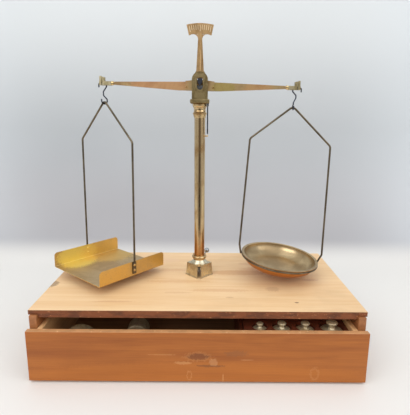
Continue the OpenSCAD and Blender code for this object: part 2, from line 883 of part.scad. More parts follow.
module beam() {
    color(OLD_BRASS) on_beam() difference() {
        union() {
            upright(beam_t) difference() {
                beam_outline();
                translate([-scale_r, boss_low - 20]) square([2 * scale_r, 20]);
            }
            upright(boss_t)
                polygon([[-boss_half, boss_low], [boss_half, boss_low], [boss_half, boss_high - 1.6],
                         [boss_half - 4, boss_high - 1.2], [8, boss_high], [-8, boss_high],
                         [-boss_half + 4, boss_high - 1.2], [-boss_half, boss_high - 1.6]]);
            for (side = [-1, 1]) {
                translate([side * (neck_in - 0.5), 0, (beam_high[1] + beam_deep[1]) / 2])
                    rotate([0, side * 90, 0]) cylinder(h = end_in - neck_in + 0.5, d = 3.9);
            }
        }
        upright(2 * boss_t) knife_outline(0);
        translate([0, 0, boss_high - 4]) cylinder(h = 8, d = 2.4);
        for (side = [-1, 1]) {
            translate([side * (boss_half - 1.6), 0, -1.8]) rotate([90, 0, 0])
                cylinder(h = 2 * boss_t, d = 1.6, center = true);
        }
    }
}

module boss_screws() {
    color(BRASS) on_beam() for (side = [-1, 1]) {
        translate([side * (boss_half - 1.6), 0, -1.8]) rotate([90, 0, 0]) {
            cylinder(h = boss_t, d = 1.6, center = true);
            translate([0, 0, boss_t / 2]) cylinder(h = 0.8, d1 = 3, d2 = 2.2);
        }
    }
}

module centre_knife() {
    color(BLUED) on_beam() difference() {
        upright(2 * knife_half) knife_outline(0);
        translate([0, 0, boss_high - 4]) cylinder(h = 8, d = 2.4);
    }
}

module pointer() {
    tip = scale_r - 2.4;
    color(BRASS) on_beam() {
        translate([0, 0, boss_high - 3.6]) cylinder(h = 3.6, d = 2.4);
        translate([0, 0, boss_high]) cylinder(h = tip - boss_high - 5, d1 = 2.4, d2 = 1.3);
        translate([0, 0, tip - 5]) cylinder(h = 5, d1 = 1.3, d2 = 0.5);
    }
}

module beam_collars() {
    mid = (beam_high[1] + beam_deep[1]) / 2;
    color(BRASS) on_beam() for (side = [-1, 1]) {
        translate([side * collar_x, 0, mid]) rotate([0, side * 90, 0]) difference() {
            cylinder(h = collar_w, d = 5.6);
            translate([0, 0, -cut]) cylinder(h = collar_w + 2 * cut, d = 3.9);
        }
    }
}

// End piece: two cheeks with a pair of upright horns each, open for the hook between them
module end_piece(side) {
    cheek = (end_w - end_slot) / 2;
    color(OLD_BRASS) on_beam() mirror([side < 0 ? 1 : 0, 0, 0]) difference() {
        union() {
            block([end_in, -end_w / 2, end_low], [end_out, end_w / 2, end_high]);
            for (horn = [horn_inner, horn_outer]) {
                block([horn[0], -end_w / 2, end_low], [horn[1], end_w / 2, horn[2]]);
            }
        }
        block([slot_in, -end_slot / 2, end_low - cut], [end_out + cut, end_slot / 2, horn_outer[2] + cut]);
        upright(2 * end_w) end_knife_outline();
        block([horn_inner[1], -end_w, 0.2], [horn_outer[0], end_w, end_high + cut]);
    }
}

module end_knife_outline() {
    polygon([[arm, 0], [arm + 1, -1.6], [arm - 1, -1.6]]);
}

module end_knife(side) {
    color(BLUED) on_beam() mirror([side < 0 ? 1 : 0, 0, 0]) upright(end_w - 0.4) end_knife_outline();
}

module left_end() { end_piece(-1); }
module right_end() { end_piece(1); }
module left_knife() { end_knife(-1); }
module right_knife() { end_knife(1); }

// Hooks: an arch over the end knife, a cranked shank, and a lower bend turned about the shank
module hook_bend(u, top, tip) {
    rotate([90, 0, 0]) {
        rotate([0, 0, 180]) rotate_extrude(angle = 180) translate([u, 0]) circle(r = hook_r);
        translate([u, 0, 0]) rotate([-90, 0, 0]) cylinder(h = top, r = hook_r);
        translate([-u, 0, 0]) rotate([-90, 0, 0]) cylinder(h = tip, r = hook_r);
    }
}

module left_hook() {
    low_z = -left_drop - hang + u_left;
    split_z = -13.2;
    s1 = left_u_s + u_left;
    color(BLUED) at_knife() translate([left_knife_at.x, 0, left_knife_at.y]) {
        bent_wire([[-5.4, -4.6], [-5.4, hook_top], [5.3, hook_top], [5.3, -3.6],
                   [left_shank, -10.4], [left_shank, split_z]], 2.2, hook_wire);
        translate([left_shank, 0, 0]) rotate([0, 0, left_twist]) {
            bent_wire([[0, split_z + joint_lap], [0, -15.6], [s1, low_z + 2.2], [s1, low_z - bend_lap]],
                      1.6, hook_wire * joint_slim);
            translate([left_u_s, 0, low_z]) rotate([90, 0, 0]) {
                rotate([0, 0, 180]) rotate_extrude(angle = 180) translate([u_left, 0]) circle(r = hook_r);
                translate([-u_left, 0, 0]) rotate([-90, 0, 0]) cylinder(h = 2.4, r = hook_r);
            }
        }
    }
}

module right_hook() {
    low_z = -right_drop - hang + u_right;
    split_z = low_z + 4.6;
    color(BLUED) at_knife() translate([right_knife_at.x, 0, right_knife_at.y]) {
        bent_wire([[6, -4.8], [6, hook_top], [-5.8, hook_top], [-5.8, -4], [right_shank, -9],
                   [right_shank, -12.6], [right_low, split_z + 1.6], [right_low, split_z]], 2, hook_wire);
        translate([right_low, 0, 0]) rotate([0, 0, 90]) {
            bent_wire([[0, split_z + joint_lap], [0, split_z - 0.9], [u_right, low_z + 1.3],
                       [u_right, low_z - bend_lap]], 1.2, hook_wire * joint_slim);
            translate([0, 0, low_z]) rotate([90, 0, 0]) {
                rotate([0, 0, 180]) rotate_extrude(angle = 180) translate([u_right, 0]) circle(r = hook_r);
                translate([-u_right, 0, 0]) rotate([-90, 0, 0]) cylinder(h = 1.6, r = hook_r);
            }
        }
    }
}

// Bows
// Height of a bend's corner above the bend's own top, for two sides that rise at the same slope
function bow_peak(bend, slope) = bend * (1 / cos(slope) - 1);

module left_bow() {
    flat_top = pan_floor + flange_h - 0.5;
    leg_end = flat_top - 1.4;
    flat_low = pan_floor + 4;
    bend = 5.6;
    slope = atan2(left_shoulder + bow_peak(bend, atan2(left_shoulder, leg_s)), leg_s);
    line = [[-leg_s, leg_end], [-leg_s, -left_shoulder], [0, bow_peak(bend, slope)],
            [leg_s, -left_shoulder], [leg_s, leg_end]];
    color(BOW_WIRE) on_left_bow() difference() {
        union() {
            bent_wire(line, bend, bow_wire);
            for (side = [-1, 1]) {
                mirror([side < 0 ? 1 : 0, 0, 0])
                    block([pan_half, -2.9, flat_low], [pan_half + flat_t, 2.9, flat_top]);
            }
        }
        pan_rivet_holes();
    }
}

module pan_rivet_holes() {
    for (z = rivet_rows) {
        translate([0, 0, z]) rotate([0, 90, 0]) cylinder(h = pan_w + 20, d = rivet_d, center = true);
    }
}

module right_bow() {
    color(BOW_WIRE) difference() {
        on_right_bow() bent_wire(right_points, 6, bow_wire);
        ring_wire();
    }
}

module ring_wire() {
    on_ring() rotate_extrude() translate([ring_r, 0]) circle(r = bow_r);
}

module dish_ring() {
    color(BOW_WIRE) ring_wire();
}

// Square pan: one sheet with two flanges
module pan_profile() {
    bend = 2;
    for (side = [-1, 1]) {
        translate([side * (pan_half - bend), bend]) intersection() {
            difference() {
                circle(r = bend);
                circle(r = bend - pan_t);
            }
            translate([side > 0 ? 0 : -bend, -bend]) square(bend);
        }
        translate([side > 0 ? pan_half - pan_t : -pan_half, bend]) square([pan_t, flange_h - bend]);
    }
    translate([-pan_half + bend, 0]) square([pan_w - 2 * bend, pan_t]);
}

module square_pan() {
    corner = 5;
    color(BRASS) on_left_bow() difference() {
        translate([0, 0, pan_floor]) rotate([90, 0, 0])
            linear_extrude(height = pan_l, center = true) pan_profile();
        pan_rivet_holes();
        for (end = [-1, 1]) {
            translate([0, end * (pan_l / 2 - corner), pan_floor + flange_h - corner]) rotate([0, 90, 0])
                difference() {
                    translate([-corner - cut, end > 0 ? 0 : -corner - cut, -pan_w])
                        cube([corner + cut, corner + cut, 2 * pan_w]);
                    cylinder(h = 3 * pan_w, r = corner, center = true);
                }
        }
    }
}

module pan_rivets() {
    head_r = 1.9;
    color(BRASS) on_left_bow() for (z = rivet_rows) {
        for (side = [-1, 1]) {
            translate([0, 0, z]) mirror([side < 0 ? 1 : 0, 0, 0]) rotate([0, 90, 0]) {
                translate([0, 0, pan_half - pan_t]) cylinder(h = pan_t + flat_t, d = rivet_d);
                translate([0, 0, pan_half - pan_t - 0.9]) cylinder(h = 0.9, r1 = head_r * 0.55, r2 = head_r);
                translate([0, 0, pan_half + flat_t]) cylinder(h = 0.9, r1 = head_r, r2 = head_r * 0.55);
            }
        }
    }
}

// Round dish: flat bottom, curved wall and a turned-out rim that lies on the ring
module round_dish() {
    lip_in = ring_r - bow_r - 0.5;
    wall_curve = 18;
    color(BRASS) on_ring() translate([0, 0, dish_seat]) rotate_extrude() polygon(concat(
        dish_curve(lip_in, wall_curve, 0),
        [[dish_r - 0.5, 0], [dish_r + 0.1, 0.3], [dish_r + 0.3, 0.9], [dish_r + 0.1, 1.5],
         [dish_r - 0.5, 1.7], [dish_r - 1.1, dish_t + 0.2], [dish_r - 1.5, dish_t]],
        reversed(dish_curve(lip_in + 0.1, wall_curve, dish_t))
    ));
}

// Half section of the dish below its rim, a quarter ellipse from the flat bottom up to the rim
function dish_curve(lip, steps, wall) = concat(
    [[0, wall - dish_depth]],
    [for (i = [steps : -1 : 0]) [
        dish_flat - wall * 0.6 + (lip - dish_flat - wall * 0.4) * cos(90 * i / steps),
        wall - dish_depth * sin(90 * i / steps)
    ]]
);

function reversed(list) = [for (i = [len(list) - 1 : -1 : 0]) list[i]];

top_board();
left_side();
right_side();
back_panel();
bottom_board();
drawer_front();
drawer_left_side();
drawer_right_side();
drawer_back();
drawer_bottom();
drawer_divider();
weight_block();
weight_500g();
weight_200g();
weights_100g();
weight_50g();
weight_20g();
weights_10g();
weight_5g();
weights_2g();
weight_1g();
foot_block();
foot_collar();
foot_screws();
column_tube();
capital();
head_plate();
index_peg();
plumb_lug();
plumb_rod();
arrest_lever();
lever_ball();
lever_pin();
lift_rod();
lift_saddle();
head_fork();
front_bearing();
rear_bearing();
scale_plate();
scale_screws();
beam();
boss_screws();
centre_knife();
pointer();
beam_collars();
left_end();
right_end();
left_knife();
right_knife();
left_hook();
right_hook();
left_bow();
right_bow();
dish_ring();
square_pan();
pan_rivets();
round_dish();
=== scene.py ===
"""Portrait of an equal-arm column balance on its drawer case.

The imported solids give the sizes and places. Flat pieces are shown as bevelled copies of them,
weights as lathe surfaces, and every piece gets a finish worked out from its place on the object.
"""

import logging
import math
from dataclasses import dataclass, field
from enum import Enum
from typing import Any, Iterable, Mapping, Sequence, Union

import bmesh
import bpy
import numpy as np
from mathutils import Matrix, Vector

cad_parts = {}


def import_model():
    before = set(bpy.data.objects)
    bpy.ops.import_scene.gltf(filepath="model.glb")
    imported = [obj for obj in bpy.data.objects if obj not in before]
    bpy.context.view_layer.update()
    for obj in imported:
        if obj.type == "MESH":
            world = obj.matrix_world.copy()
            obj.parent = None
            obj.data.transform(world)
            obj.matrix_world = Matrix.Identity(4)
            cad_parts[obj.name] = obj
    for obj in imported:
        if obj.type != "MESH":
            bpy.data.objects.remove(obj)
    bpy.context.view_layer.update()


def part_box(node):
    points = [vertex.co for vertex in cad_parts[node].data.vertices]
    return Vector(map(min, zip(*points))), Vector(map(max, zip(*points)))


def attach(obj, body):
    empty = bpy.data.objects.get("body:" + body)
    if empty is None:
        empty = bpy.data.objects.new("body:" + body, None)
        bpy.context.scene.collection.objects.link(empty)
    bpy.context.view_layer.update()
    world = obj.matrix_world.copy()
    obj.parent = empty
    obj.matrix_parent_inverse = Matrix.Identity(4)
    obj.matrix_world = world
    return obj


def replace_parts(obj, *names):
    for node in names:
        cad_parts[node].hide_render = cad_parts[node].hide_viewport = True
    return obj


LOG = logging.getLogger("balance")
MM = 0.001

Colour = tuple[float, float, float]
Point = tuple[float, float, float]


def tone(red: int, green: int, blue: int) -> Colour:
    """Turn a display colour into a linear one.

    Args:
        red, green, blue: Display values from 0 to 255.

    Returns:
        The linear colour, by the display's standard curve.
    """

    def linear(level: int) -> float:
        share = level / 255
        return share / 12.92 if share <= 0.04045 else ((share + 0.055) / 1.055) ** 2.4

    return linear(red), linear(green), linear(blue)


class Axis(Enum):
    """The row axis that a grain, a streak or a turned shape runs along."""

    X = 0
    Y = 1
    Z = 2


# ---- Shader maths ----


class Value:
    """A number in a node tree, with the arithmetic of an ordinary number."""

    def __init__(self, tree: "ShaderTree", socket: Any) -> None:
        """Keep the tree and the socket that carries the number."""
        self.tree = tree
        self.socket = socket

    def _maths(self, operation: str, first: Any, second: Any = None) -> "Value":
        """Add one Math node.

        Args:
            operation: The node's operation.
            first, second: Its inputs, each a Value or a number.

        Returns:
            The node's result.
        """
        inputs = {0: first} if second is None else {0: first, 1: second}
        return self.tree.value("ShaderNodeMath", {"operation": operation}, inputs, "Value")

    def __add__(self, other: Any) -> "Value":
        """Add."""
        return self._maths("ADD", self, other)

    __radd__ = __add__

    def __sub__(self, other: Any) -> "Value":
        """Subtract."""
        return self._maths("SUBTRACT", self, other)

    def __rsub__(self, other: Any) -> "Value":
        """Subtract from a number."""
        return self._maths("SUBTRACT", other, self)

    def __mul__(self, other: Any) -> "Value":
        """Multiply."""
        return self._maths("MULTIPLY", self, other)

    __rmul__ = __mul__

    def __truediv__(self, other: Any) -> "Value":
        """Divide."""
        return self._maths("DIVIDE", self, other)

    def __pow__(self, other: Any) -> "Value":
        """Raise to a power."""
        return self._maths("POWER", self, other)

    def __abs__(self) -> "Value":
        """Drop the sign."""
        return self._maths("ABSOLUTE", self)

    def least(self, other: Any) -> "Value":
        """Take the smaller of two numbers."""
        return self._maths("MINIMUM", self, other)

    def most(self, other: Any) -> "Value":
        """Take the larger of two numbers."""
        return self._maths("MAXIMUM", self, other)

    def step(self, low: float, high: float) -> "Value":
        """Rise smoothly from 0 at low to 1 at high, or fall where high is the smaller.

        Args:
            low: The number that gives 0.
            high: The number that gives 1.

        Returns:
            A share from 0 to 1.
        """
        settings = {"interpolation_type": "SMOOTHSTEP", "clamp": True}
        if low < high:
            inputs = {"Value": self, "From Min": low, "From Max": high}
            return self.tree.value("ShaderNodeMapRange", settings, inputs, "Result")
        inputs = {"Value": self, "From Min": high, "From Max": low, "To Min": 1.0, "To Max": 0.0}
        return self.tree.value("ShaderNodeMapRange", settings, inputs, "Result")


class ShaderTree:
    """Builds the nodes of one material or of the world."""

    def __init__(self, owner: Any) -> None:
        """Empty the owner's node tree and keep it.

        Args:
            owner: A material or a world.
        """
        owner.use_nodes = True
        self.nodes = owner.node_tree.nodes
        self.links = owner.node_tree.links
        self.nodes.clear()

    def node(self, kind: str, settings: Mapping[str, Any], inputs: Mapping[Any, Any]) -> Any:
        """Add one node.

        Args:
            kind: The node's type.
            settings: Its properties, set first. A ramp's stops are given as "stops".
            inputs: Numbers, colours, Values or sockets, by input name or index.

        Returns:
            The node.
        """
        made = self.nodes.new(kind)
        for name, setting in settings.items():
            if name == "stops":
                self._set_stops(made.color_ramp, setting)
            else:
                setattr(made, name, setting)
        for name, given in inputs.items():
            socket = made.inputs[name]
            if isinstance(given, Value):
                self.links.new(given.socket, socket)
            elif isinstance(given, bpy.types.NodeSocket):
                self.links.new(given, socket)
            elif isinstance(given, tuple) and socket.type == "RGBA":
                socket.default_value = (*given, 1.0) if len(given) == 3 else given
            else:
                socket.default_value = given
        return made

    @staticmethod
    def _set_stops(ramp: Any, stops: Sequence[tuple[float, Colour]]) -> None:
        """Give a colour ramp its stops."""
        while len(ramp.elements) < len(stops):
            ramp.elements.new(0.5)
        for element, (place, colour) in zip(ramp.elements, stops):
            element.position = place
            element.color = (*colour, 1.0)

    def value(
        self, kind: str, settings: Mapping[str, Any], inputs: Mapping[Any, Any], result: str
    ) -> Value:
        """Add one node and return one of its numbers."""
        return Value(self, self.node(kind, settings, inputs).outputs[result])

    def place(self) -> Any:
        """Return the place on the object, in metres, as a vector socket."""
        return self.node("ShaderNodeTexCoord", {}, {}).outputs["Object"]

    def normal(self) -> tuple[Value, Value, Value]:
        """Return the three parts of the surface's direction."""
        facing = self.node("ShaderNodeNewGeometry", {}, {}).outputs["Normal"]
        return self.parts(facing)

    def parts(self, vector: Any) -> tuple[Value, Value, Value]:
        """Split a vector into its three numbers."""
        split = self.node("ShaderNodeSeparateXYZ", {}, {"Vector": vector})
        return tuple(Value(self, split.outputs[axis]) for axis in "XYZ")

    def stretched(self, vector: Any, scale: Point, shift: Point = (0.0, 0.0, 0.0)) -> Any:
        """Scale and shift a vector, each axis by its own number.

        Args:
            vector: The vector socket.
            scale: Repeats per metre along each axis.
            shift: What is added after scaling.

        Returns:
            The new vector socket.
        """
        inputs = {0: vector, 1: scale, 2: shift}
        made = self.node("ShaderNodeVectorMath", {"operation": "MULTIPLY_ADD"}, inputs)
        return made.outputs["Vector"]

    def noise(
        self, vector: Any, detail: float = 3.0, rough: float = 0.55, bend: float = 0.0
    ) -> Value:
        """Return fractal noise between 0 and 1 at a vector.

        Args:
            vector: The place, already scaled.
            detail: Octaves.
            rough: Share kept by each finer octave.
            bend: How far the noise bends itself.

        Returns:
            The noise.
        """
        inputs = {"Vector": vector, "Scale": 1.0, "Detail": detail}
        inputs |= {"Roughness": rough, "Distortion": bend}
        return self.value("ShaderNodeTexNoise", {"noise_dimensions": "3D"}, inputs, "Fac")

    def mix(self, first: Any, second: Any, share: Any) -> Any:
        """Blend two colours.

        Args:
            first, second: Linear colours or colour sockets.
            share: 0 gives the first, 1 the second.

        Returns:
            The colour socket.
        """
        settings = {"data_type": "RGBA", "blend_type": "MIX", "clamp_factor": True}
        made = self.node("ShaderNodeMix", settings, {0: share, 6: first, 7: second})
        return made.outputs[2]

    def bump(self, height: Value, depth: float, normal: Any = None) -> Any:
        """Turn a height into a bumped normal.

        Args:
            height: Height from 0 to 1.
            depth: The depth in metres that a height of 1 stands for.
            normal: A normal socket to start from.

        Returns:
            The normal socket.
        """
        inputs: dict[Any, Any] = {"Strength": 1.0, "Distance": depth, "Height": height}
        if normal is not None:
            inputs["Normal"] = normal
        return self.node("ShaderNodeBump", {}, inputs).outputs["Normal"]

    def surface(self, inputs: Mapping[str, Any]) -> None:
        """Finish a material with the standard surface shader and its inputs."""
        shader = self.node("ShaderNodeBsdfPrincipled", {}, inputs)
        self.node("ShaderNodeOutputMaterial", {}, {"Surface": shader.outputs["BSDF"]})


@dataclass(frozen=True)
class Mark:
    """A stain, knot, scuff, scratch, painted highlight or patch of another colour at one place on a
    piece.
    """

    at: Point
    reach: Point
    colour: Colour
    strength: float = 0.8
    ragged: float = 0.6
    ring: bool = False

    def share(self, tree: ShaderTree, place: Any) -> Value:
        """Return how strongly the mark shows at a place.

        The distance from its middle, in its own half sizes, is roughened by noise and compared
        with 1.
        """
        scale = tuple(1.0 / reach for reach in self.reach)
        shift = tuple(-middle / reach for middle, reach in zip(self.at, self.reach))
        near = tree.stretched(place, scale, shift)
        length = tree.value("ShaderNodeVectorMath", {"operation": "LENGTH"}, {0: near}, "Value")
        torn = tree.noise(tree.stretched(place, (420.0, 420.0, 420.0)), 3.0, 0.7) - 0.5
        edge = length + torn * (2.0 * self.ragged)
        inside = edge.step(1.08, 0.8)
        if self.ring:
            inside = inside * edge.step(0.55, 0.85)
        return inside * self.strength


def new_material(name: str) -> tuple[bpy.types.Material, ShaderTree]:
    """Make an empty material and its tree."""
    material = bpy.data.materials.new(name)
    return material, ShaderTree(material)


@dataclass(frozen=True)
class WoodFinish:
    """Planed wood under thin varnish, with stained edges, worn corners and marks."""

    name: str
    pale: Colour
    dark: Colour
    grain: Axis = Axis.X
    figure: float = 0.5
    fibre: float = 0.35
    band: float = 0.011
    roughness: float = 0.5
    edge: Union[Colour, None] = None
    edge_axis: Axis = Axis.Z
    edge_fleck: Colour = (0.6, 0.45, 0.3)
    edge_depth: float = 0.55
    soil: float = 0.12
    marks: tuple[Mark, ...] = ()
    varnish: float = 0.15

    def build(self) -> bpy.types.Material:
        """Build the material.

        Broad bands are noise stretched fifteen times along the grain, fibres are noise stretched
        sixty times, and pores are the lowest tips of a finer noise stretched twenty-four times.
        Soil is broad, nearly unstretched noise.
        """
        material, tree = new_material(self.name)
        place = tree.place()
        bands = tree.noise(self._along(tree, place, 1.0 / self.band, 15.0), 4.0, 0.55, 0.6)
        fibres = tree.noise(self._along(tree, place, 1100.0, 60.0), 3.0, 0.6)
        pores = tree.noise(self._along(tree, place, 2300.0, 24.0), 2.0, 0.5).step(0.34, 0.24)
        cloud = tree.noise(tree.stretched(place, (9.0, 12.0, 12.0), (3.1, 1.7, 0.4)), 3.0, 0.6)
        banded = bands.step(0.32, 0.72) * self.figure
        share = banded + fibres.step(0.3, 0.75) * self.fibre
        colour = tree.mix(self.pale, self.dark, share.most(0.0))
        shade = tuple(part * 0.55 for part in self.dark)
        colour = tree.mix(colour, shade, pores * 0.3)
        colour = tree.mix(colour, shade, cloud.step(0.5, 0.78) * self.soil)
        rough = self.roughness + cloud * 0.14 - fibres * 0.08
        if self.edge is not None:
            colour = self._stain_edges(tree, place, colour)
        for mark in self.marks:
            colour = tree.mix(colour, mark.colour, mark.share(tree, place))
        relief = fibres * 0.7 + (1.0 - pores) * 0.3
        tree.surface(
            {
                "Base Color": colour,
                "Roughness": rough,
                "Normal": tree.bump(relief, 0.00012),
                "Coat Weight": self.varnish,
                "Coat Roughness": 0.32,
                "Specular IOR Level": 0.4,
            }
        )
        return material

    def _along(self, tree: ShaderTree, place: Any, rate: float, stretch: float) -> Any:
        """Scale a place by a rate across the grain and a smaller one along it."""
        scale = [rate] * 3
        scale[self.grain.value] = rate / stretch
        return tree.stretched(place, tuple(scale))

    def _stain_edges(self, tree: ShaderTree, place: Any, colour: Any) -> Any:
        """Colour the faces that stand at right angles to the edge axis, and chip the stain away."""
        facing = abs(tree.normal()[self.edge_axis.value])
        edge_on = facing.step(0.75, 0.35)
        worn = tree.noise(tree.stretched(place, (260.0, 260.0, 420.0)), 4.0, 0.7)
        mottled = tree.noise(tree.stretched(place, (60.0, 60.0, 160.0)), 3.0, 0.6)
        deep = tuple(part * self.edge_depth for part in self.edge)
        stain = tree.mix(self.edge, deep, mottled.step(0.42, 0.66))
        stain = tree.mix(stain, self.edge_fleck, worn.step(0.6, 0.7) * 0.8)
        return tree.mix(colour, stain, edge_on)


@dataclass(frozen=True)
class MetalFinish:
    """Metal with tarnish in patches, fine spots, wiping streaks, a soft gloss and, where given, a
    painted gleam on its near-vertical faces.
    """

    name: str
    bright: Colour
    tarnish: Colour
    spot: Colour = (0.05, 0.035, 0.02)
    patch: float = 55.0
    cover: float = 0.4
    spots: float = 0.3
    roughness: float = 0.28
    spread: float = 0.2
    streak_axis: Axis = Axis.X
    streak: float = 0.25
    relief: float = 0.00003
    shine: float = 1.0
    marks: tuple[Mark, ...] = ()
    low: Union[Colour, None] = None
    low_span: tuple[float, float] = (0.0, 0.1)
    # Painted highlight: a gleam colour for near-vertical faces.
    upright: Union[Colour, None] = None
    under: Union[Colour, None] = None
    filled: Union[Colour, None] = None
    filled_from: float = 0.0

    def build(self) -> bpy.types.Material:
        """Build the material.

        Patches are noise at the patch rate compared with the cover, spots are the highest tips of
        finer noise, and streaks are noise stretched forty times along one axis.
        """
        material, tree = new_material(self.name)
        place = tree.place()
        rates = tree.stretched(place, (self.patch,) * 3)
        middle = 0.68 - self.cover * 0.4
        patches = tree.noise(rates, 4.0, 0.6, 0.4).step(middle - 0.14, middle + 0.16)
        fine_rates = tree.stretched(place, (self.patch * 14,) * 3)
        specks = tree.noise(fine_rates, 2.0, 0.6).step(0.64, 0.74)
        wipe_rates = [900.0] * 3
        wipe_rates[self.streak_axis.value] = 900.0 / 40.0
        wipes = tree.noise(tree.stretched(place, tuple(wipe_rates)), 2.0, 0.6)
        colour = tree.mix(self.bright, self.tarnish, patches)
        if self.low is not None:
            height = tree.parts(place)[2]
            near_foot = height.step(self.low_span[1], self.low_span[0])
            colour = tree.mix(colour, self.low, near_foot * 0.7)
        facing = tree.normal()[2]
        # Painted highlight: near-vertical faces, such as the pan's flanges, take the gleam colour.
        if self.upright is not None:
            gleam_share = abs(facing).step(0.8, 0.45)
            colour = tree.mix(colour, self.upright, gleam_share * (1.0 - patches * 0.5))
        if self.under is not None:
            colour = tree.mix(colour, self.under, facing.step(-0.02, -0.2))
        colour = tree.mix(colour, self.tarnish, wipes.step(0.45, 0.75) * self.streak)
        metallic = self.shine - patches * 0.1 - specks * (0.4 * self.spots)
        if self.filled is not None:
            depth = tree.parts(place)[1].step(self.filled_from, self.filled_from + 0.0001)
            paint = depth * tree.normal()[1].step(-0.5, -0.8)
            colour = tree.mix(colour, self.filled, paint)
            metallic = metallic * (1.0 - paint)
        colour = tree.mix(colour, self.spot, specks * self.spots)
        rough = patches * self.spread + specks * 0.12 + wipes * 0.1 + (self.roughness - 0.05)
        for mark in self.marks:
            share = mark.share(tree, place)
            colour = tree.mix(colour, mark.colour, share)
            rough = rough + share * 0.15
        tree.surface(
            {
                "Base Color": colour,
                "Metallic": metallic,
                "Roughness": rough,
                "Normal": tree.bump(wipes * 0.5 + patches * 0.5, self.relief),
            }
        )
        return material


# ---- Meshes ----

MERGE_GAP = 2e-6
FLAT_TURN = math.radians(0.4)
SHARP_TURN = math.radians(40)


def linked(name: str, data: Any) -> bpy.types.Object:
    """Make an object for some data and link it to the scene."""
    made = bpy.data.objects.new(name, data)
    bpy.context.scene.collection.objects.link(made)
    return made


def smooth(mesh: bpy.types.Mesh) -> None:
    """Shade every face of a mesh smooth."""
    mesh.polygons.foreach_set("use_smooth", np.ones(len(mesh.polygons), dtype=bool))


def mesh_object(name: str, points: np.ndarray, faces: np.ndarray) -> bpy.types.Object:
    """Make an object from arrays of points and four-sided faces.

    Args:
        name: The object's name.
        points: An (n, 3) array of places in metres.
        faces: An (m, 4) array of point numbers.

    Returns:
        The linked object, with doubled points merged and every face smooth.
    """
    mesh = bpy.data.meshes.new(name)
    mesh.vertices.add(len(points))
    mesh.vertices.foreach_set("co", points.astype(np.float32).ravel())
    mesh.loops.add(faces.size)
    mesh.loops.foreach_set("vertex_index", faces.astype(np.int32).ravel())
    mesh.polygons.add(len(faces))
    mesh.polygons.foreach_set("loop_start", np.arange(0, faces.size, 4, dtype=np.int32))
    mesh.update(calc_edges=True)
    shape = bmesh.new()
    shape.from_mesh(mesh)
    bmesh.ops.remove_doubles(shape, verts=shape.verts, dist=1e-6)
    bmesh.ops.recalc_face_normals(shape, faces=shape.faces)
    shape.to_mesh(mesh)
    shape.free()
    smooth(mesh)
    mesh.update()
    return linked(name, mesh)


def grid_faces(rows: int, columns: int, wrap_rows: bool, wrap_columns: bool) -> np.ndarray:
    """Number the faces of a grid of points.

    Args:
        rows, columns: The grid's size.
        wrap_rows, wrap_columns: Whether the last row or column joins the first.

    Returns:
        An (m, 4) array, each face going round one cell.
    """
    down = np.arange(rows if wrap_rows else rows - 1)
    across = np.arange(columns if wrap_columns else columns - 1)
    row, column = np.meshgrid(down, across, indexing="ij")
    next_row, next_column = (row + 1) % rows, (column + 1) % columns
    corners = [row * columns + column, row * columns + next_column]
    corners += [next_row * columns + next_column, next_row * columns + column]
    return np.stack([corner.ravel() for corner in corners], axis=1)


def softened(profile: Sequence[tuple[float, float]], radius: float, steps: int = 5) -> np.ndarray:
    """Round the corners of a profile.

    Each inner corner becomes a parabola: (1-t)^2 a + 2t(1-t) corner + t^2 b, where a and b lie on
    its two sides, the radius away or a little under half the side, whichever is nearer.

    Args:
        profile: Points of a line.
        radius: Reach of each rounding.
        steps: Points along each rounding.

    Returns:
        A (k, 2) array.
    """
    line = np.asarray(profile, dtype=float)
    t = np.linspace(0, 1, steps)[:, None]
    made = [line[:1]]
    for before, corner, after in zip(line[:-2], line[1:-1], line[2:]):
        reach_a = min(radius, 0.49 * np.linalg.norm(before - corner))
        reach_b = min(radius, 0.49 * np.linalg.norm(after - corner))
        a = corner + (before - corner) / np.linalg.norm(before - corner) * reach_a
        b = corner + (after - corner) / np.linalg.norm(after - corner) * reach_b
        made.append((1 - t) ** 2 * a + 2 * t * (1 - t) * corner + t**2 * b)
    made.append(line[-1:])
    return np.concatenate(made)


def lathe(name: str, profile: np.ndarray, place: Matrix, turns: int = 96) -> bpy.types.Object:
    """Turn a profile about the Z axis of a place.

    The surface is (r(s) cos a, r(s) sin a, z(s)) for s along the profile and a round the turn.

    Args:
        name: The object's name.
        profile: A (k, 2) array of radius and height.
        place: Where the axis stands.
        turns: Points round the turn.

    Returns:
        The object.
    """
    angle = np.linspace(0, 2 * np.pi, turns, endpoint=False)
    radius, height = profile[:, 0][:, None], profile[:, 1][:, None]
    x, y = radius * np.cos(angle), radius * np.sin(angle)
    points = np.stack([x, y, np.broadcast_to(height, x.shape)], axis=-1).reshape(-1, 3)
    turned = points @ np.array(place.to_3x3()).T + np.array(place.translation)
    return mesh_object(name, turned, grid_faces(len(profile), turns, False, True))


def merged_shape(node: str) -> bmesh.types.BMesh:
    """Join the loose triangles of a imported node's mesh in an editable copy."""
    shape = bmesh.new()
    shape.from_mesh(bpy.data.objects[node].data)
    bmesh.ops.remove_doubles(shape, verts=shape.verts, dist=MERGE_GAP)
    return shape


def smooth_object(name: str, shape: bmesh.types.BMesh) -> bpy.types.Object:
    """Turn an editable shape into a linked object with smooth faces, and free the shape."""
    mesh = bpy.data.meshes.new(name)
    shape.to_mesh(mesh)
    shape.free()
    smooth(mesh)
    return linked(name, mesh)


def merged_copy(node: str, name: str) -> bpy.types.Object:
    """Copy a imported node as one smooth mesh.

    Args:
        node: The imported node's name.
        name: The copy's name.

    Returns:
        The copy, which stands for the node.
    """
    shape = merged_shape(node)
    for edge in shape.edges:
        edge.smooth = len(edge.link_faces) != 2 or edge.calc_face_angle() < SHARP_TURN
    made = smooth_object(name, shape)
    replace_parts(made, node)
    return made


